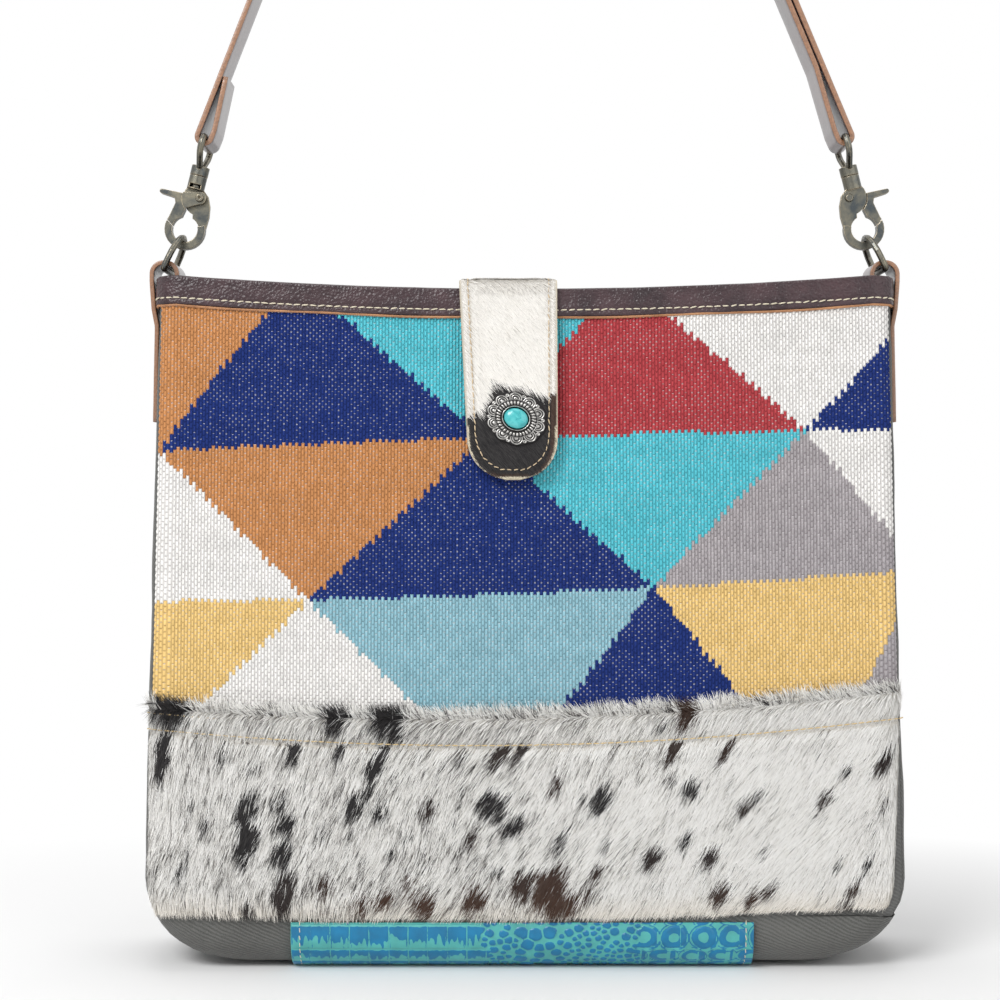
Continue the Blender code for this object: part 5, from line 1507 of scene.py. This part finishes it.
def stoneMaterial():
    mat, into = newMaterial("turquoiseStone", 0.22)
    vein = noiseAt(objectPlace(), 260, 5, 0.6, 1.2)
    stone = ramp(vein, [(0.30, (0.015, 0.30, 0.33)), (0.45, (0.045, 0.44, 0.46)), (0.62, (0.085, 0.53, 0.54))])
    feed(stone, into["Base Color"])
    feed(bumped(vein, 0.00006), into["Normal"])
    into["Coat Weight"].default_value = 0.5
    into["Coat Roughness"].default_value = 0.16
    return mat


def onEllipse(seat, length, width, angle, height):
    return seat @ Vector((length / 2 * math.cos(angle), width / 2 * math.sin(angle), height))


def makeConcho():
    seat = conchoSeat()
    rings, spokes, petals, first = concho["rings"], concho["spokes"], concho["petalRing"], concho["first"]
    points, hollows = [], []
    # the last two rings are the rim's lower edge and its back: height in mm and share of the width
    under = {rings + 1: (0.1, 0.998), rings + 2: (0.0, 0.90)}
    for ring in range(rings + 3):
        share = first + (1 - first) * min(ring, rings) / rings
        for spoke in range(spokes):
            angle = 2 * math.pi * spoke / spokes
            height, deep = conchoHeight(share, angle)
            height += 0.5
            stretch = share
            if share >= petals:
                stretch = petals + (share - petals) * (conchoEdge(angle) - petals) / (1 - petals)
            if ring in under:
                height, deep = under[ring][0], 0.6
                stretch *= under[ring][1]
            sizes = concho["length"] * stretch, concho["width"] * stretch
            points.append(onEllipse(seat, *sizes, angle, concho["rise"] + height / 1000))
            hollows.append(deep)
    faces = turned(gridFaces(rings + 3, spokes, True))
    # closed in the middle under the stone, and at the back
    for low, turn in ((0, 1), ((rings + 2) * spokes, -1)):
        middle = len(points)
        points.append(seat @ Vector((0, 0, concho["rise"] + (0.0005 if turn > 0 else 0))))
        hollows.append(1.0)
        faces += [(middle, low + i, low + (i + 1) % spokes)[::turn] for i in range(spokes)]
    piece = addPiece("conchoSilver", points, faces, silverMaterial(), None, "closure", ("concho",))
    addAttribute(piece.data, "hollow", hollows)


def makeStone():
    # a smooth low dome
    seat = conchoSeat()
    long, wide, tall = concho["stone"]
    bands, spokes = concho["bands"]
    low, points = concho["rise"] + 0.0013, []
    for band in range(bands):
        turn = math.pi / 2 * band / bands
        spread = math.cos(turn) ** 0.75
        for angle in evenly(0, 2 * math.pi, spokes)[:-1]:
            points.append(onEllipse(seat, long * spread, wide * spread, angle, low + tall * math.sin(turn)))
    last, top = (bands - 1) * spokes, len(points)
    points += [seat @ Vector((0, 0, low + tall)), seat @ Vector((0, 0, low))]
    faces = gridFaces(bands, spokes, True)
    faces += [(last + i, last + (i + 1) % spokes, top) for i in range(spokes)]
    faces += [((i + 1) % spokes, i, top + 1) for i in range(spokes)]
    addPiece("conchoStone", points, faces, stoneMaterial(), None, "closure", ("concho_stone",))


# leather strips in the plane of the bag: side tabs and strap

strips = {"corner": 0.0005, "step": 5, "pitch": 0.003}


def roundedPath(corners):
    # points through corners of x, z and radius, evenly close along the straights too
    path = []
    for i, (x, z, radius) in enumerate(corners):
        here = Vector((x, z))
        if radius == 0 or i in (0, len(corners) - 1):
            path.append(here)
            continue
        before = (Vector(corners[i - 1][:2]) - here).normalized()
        after = (Vector(corners[i + 1][:2]) - here).normalized()
        half = before.angle(after) / 2
        centre = here + (before + after).normalized() * radius / math.sin(half)
        first = here + before * radius / math.tan(half) - centre
        turn = (math.pi - 2 * half) * (1 if before.x * after.y - before.y * after.x < 0 else -1)
        steps = max(2, math.ceil(abs(turn) / math.radians(strips["step"])))
        path += [centre + Matrix.Rotation(turn * k / steps, 2) @ first for k in range(steps + 1)]
    full = [path[0]]
    for point in path[1:]:
        gap = point - full[-1]
        parts = max(1, round(gap.length / strips["pitch"]))
        if gap.length > 1e-5:
            full += [full[-1] + gap * k / parts for k in range(1, parts + 1)]
    return full


def leatherStrip(name, path, width, thickness, body, node):
    # a strip with rounded corners, its raw edges marked for their own colour
    half, thick, corner = width / 2, thickness / 2, strips["corner"]
    section = []
    flat, rise = half - corner, thick - corner
    for sideY, sideN, start in ((1, 1, 0), (-1, 1, 90), (-1, -1, 180), (1, -1, 270)):
        for degrees in (0, 30, 60, 90):
            angle = math.radians(start + degrees)
            section.append((sideY * flat + corner * math.cos(angle), sideN * rise + corner * math.sin(angle)))
        if start in (0, 180):
            section += [(across, sideN * thick) for across in evenly(sideY * flat, -sideY * flat, 6)[1:-1]]
    points, cuts = [], []
    for i, here in enumerate(path):
        along = (path[min(i + 1, len(path) - 1)] - path[max(i - 1, 0)]).normalized()
        out = Vector((-along.y, along.x))
        end = min(i, len(path) - 1 - i)
        narrow = 1 - 0.012 * max(0, 2 - end)
        for across, rise in section:
            wave = 0.00008 * noise.noise(Vector((here.x * 300, across * 300, here.y * 300)))
            place = here + out * (rise + math.copysign(wave, rise))
            points.append(Vector((place.x, -across * narrow, place.y)))
            cuts.append(1.0 if abs(across) > half - 0.0003 else 0.0)
    wide = len(section)
    faces = gridFaces(len(path), wide)
    faces += [(j * wide + wide - 1, j * wide, (j + 1) * wide, (j + 1) * wide + wide - 1) for j in range(len(path) - 1)]
    faces += [tuple(reversed(range(wide))), tuple(range((len(path) - 1) * wide, len(path) * wide))]
    piece = addPiece(name, points, turned(faces), strapLeather, None, body, node)
    addAttribute(piece.data, "cut", cuts)
    return piece


sideTab = {
    "width": 0.020, "thickness": 0.0021, "low": 0.0668, "inside": 0.0368, "ease": 0.0012, "bar": 0.3270, "wire": 0.0016,
    "seam": 0.003,
}
strap = {
    "width": 0.0216, "thickness": 0.0024, "eye": (0.15214, 0.38982), "slopes": (0.39, 0.42), "bend": 0.0034,
    "top": 0.042, "leftEnd": 0.030, "rightEnd": 0.155, "part": 0.0008, "seam": 0.003,
    # how far past its loop the strap closes, with the curve there, and where the long end parts from it
    "close": 0.0048, "closeCurve": 0.008, "parts": 0.036, "partCurve": 0.020, "threads": (0.014, 0.003),
}


def makeSideTabs():
    half, clear = sideTab["thickness"] / 2, wall["gap"]

    def leg(height, out):
        place = wallPoint(2.5, levelOf(height), out)
        return place.x, place.z

    rim = wall["rim"]
    outside, inside = bindingFace + clear + half, -clear - wall["binding"] - clear - half
    below = rim - wall["bindingDrop"] - sideTab["ease"]
    top = sideTab["bar"] + sideTab["wire"] + clear + half
    outer, inner = leg(rim, outside)[0] + sideTab["ease"], leg(rim, inside)[0] - sideTab["ease"]
    face = wall["thickness"] + clear + half
    corners = [
        (*leg(rim - sideTab["low"], face), 0), (*leg(below - 0.008, face), 0.010), (*leg(below, outside), 0.006),
        (outer, rim, 0.006), (outer, top, 0.0055), (inner, top, 0.0055), (inner, rim, 0.006),
        (*leg(below, inside), 0.006), (*leg(rim - sideTab["inside"], -clear - half), 0),
    ]
    for side, word in ((1, "Right"), (-1, "Left")):
        path = roundedPath([(side * x, z, radius) for x, z, radius in corners])
        leatherStrip("sideTab" + word, path, sideTab["width"], sideTab["thickness"], "bag",
                     (f"side_tab_{word.lower()}",))
        # two rows of thread down the outside, joined across their upper end
        places, outs = [], []
        low, high = rim - sideTab["low"] + 0.0035, below - 0.006
        for y in (-1, 1):
            for height in evenly(high, low, 20)[::y]:
                x, z = leg(height, face + half)
                places.append(Vector((side * x, y * (sideTab["width"] / 2 - sideTab["seam"]), z)))
                outs.append(Vector((side, 0, 0)))
        seamLine("sideTabStitch" + word, "sideTab", places, outs, tanThread)


def makeStrap():
    width, thick, bend = strap["width"], strap["thickness"], strap["bend"]
    right = Vector(strap["eye"])
    left = Vector((-right.x, right.y))
    riseLeft, riseRight = Vector((strap["slopes"][0], 1)).normalized(), Vector((-strap["slopes"][1], 1)).normalized()
    inLeft, outRight = Vector((riseLeft.y, -riseLeft.x)), Vector((riseRight.y, -riseRight.x))
    layer, parted = thick + wall["gap"], thick + strap["part"]
    start, finish, curve = left - inLeft * bend, right + outRight * bend, strap["partCurve"]
    gap = finish - start
    reach = (gap.x * riseRight.y - gap.y * riseRight.x) / (riseLeft.x * riseRight.y - riseLeft.y * riseRight.x)
    corners = [
        (start + riseLeft * strap["leftEnd"] + inLeft * layer, 0),
        (left + riseLeft * strap["close"] + inLeft * bend, strap["closeCurve"]),
        (left - riseLeft * bend + inLeft * bend, bend), (left - riseLeft * bend - inLeft * bend, bend),
        (start + riseLeft * reach, strap["top"]),
        (right - riseRight * bend + outRight * bend, bend), (right - riseRight * bend - outRight * bend, bend),
        (right + riseRight * strap["close"] - outRight * bend, strap["closeCurve"]),
        (finish + riseRight * strap["parts"] - outRight * parted, curve),
        (finish + riseRight * (strap["rightEnd"] - curve) - outRight * parted, curve),
        (finish + riseRight * strap["rightEnd"] - outRight * layer, 0),
    ]
    path = roundedPath([(point.x, point.y, radius) for point, radius in corners])
    leatherStrip("carryStrap", path, width, thick, "carry_strap", ("strap",))
    # the sewn ends: threads across the outer layer
    ends = {
        "Left": (start, riseLeft, -inLeft, strap["leftEnd"]), "Right": (finish, riseRight, outRight, strap["rightEnd"]),
    }
    for word, (foot, rise, out, long) in ends.items():
        outward = Vector((out.x, 0, out.y))
        places, outs = [], []
        first, last = strap["threads"][0], long - strap["threads"][1]
        for y, low, high in ((-1, first, last), (1, last, first)):
            for share in evenly(low, high, 20):
                here = foot + rise * share + out * (thick / 2 + 0.0001)
                places.append(Vector((here.x, y * (width / 2 - strap["seam"]), here.y)))
                outs.append(outward)
        seamLine("strapStitch" + word, "strap", places, outs, tanThread, "carry_strap")


def finishHardware():
    # metal parts keep their CAD shapes
    looks = {
        agedBrass: ("hook_body", "gate", "gate_rivet", "swivel_eye", "d_ring"), springSteel: ("gate_spring",),
        snapSteel: ("snap_socket", "snap_stud"),
    }
    for mat, words in looks.items():
        for name, node in cadNodes.items():
            if name in words or name.rsplit("_", 1)[0] in words:
                for place in range(len(node.data.materials)):
                    node.data.materials[place] = mat


# build

random.seed(4)
makeCamera()
makeWorld()
makeLamps()
makeFloor()
makeCanvas()
makeLining()
print("canvas and lining made")
makeKilim()
print("kilim made")
makeHide()
makeFringe()
makeHideSeams()
print("hide made")
makeBinding()
makePatch()
print("binding and patch made")
makeTab()
makeConcho()
makeStone()
print("closure made")
makeSideTabs()
makeStrap()
finishHardware()
print("straps and hardware made")

bpy.context.scene.view_settings.view_transform = "Standard"
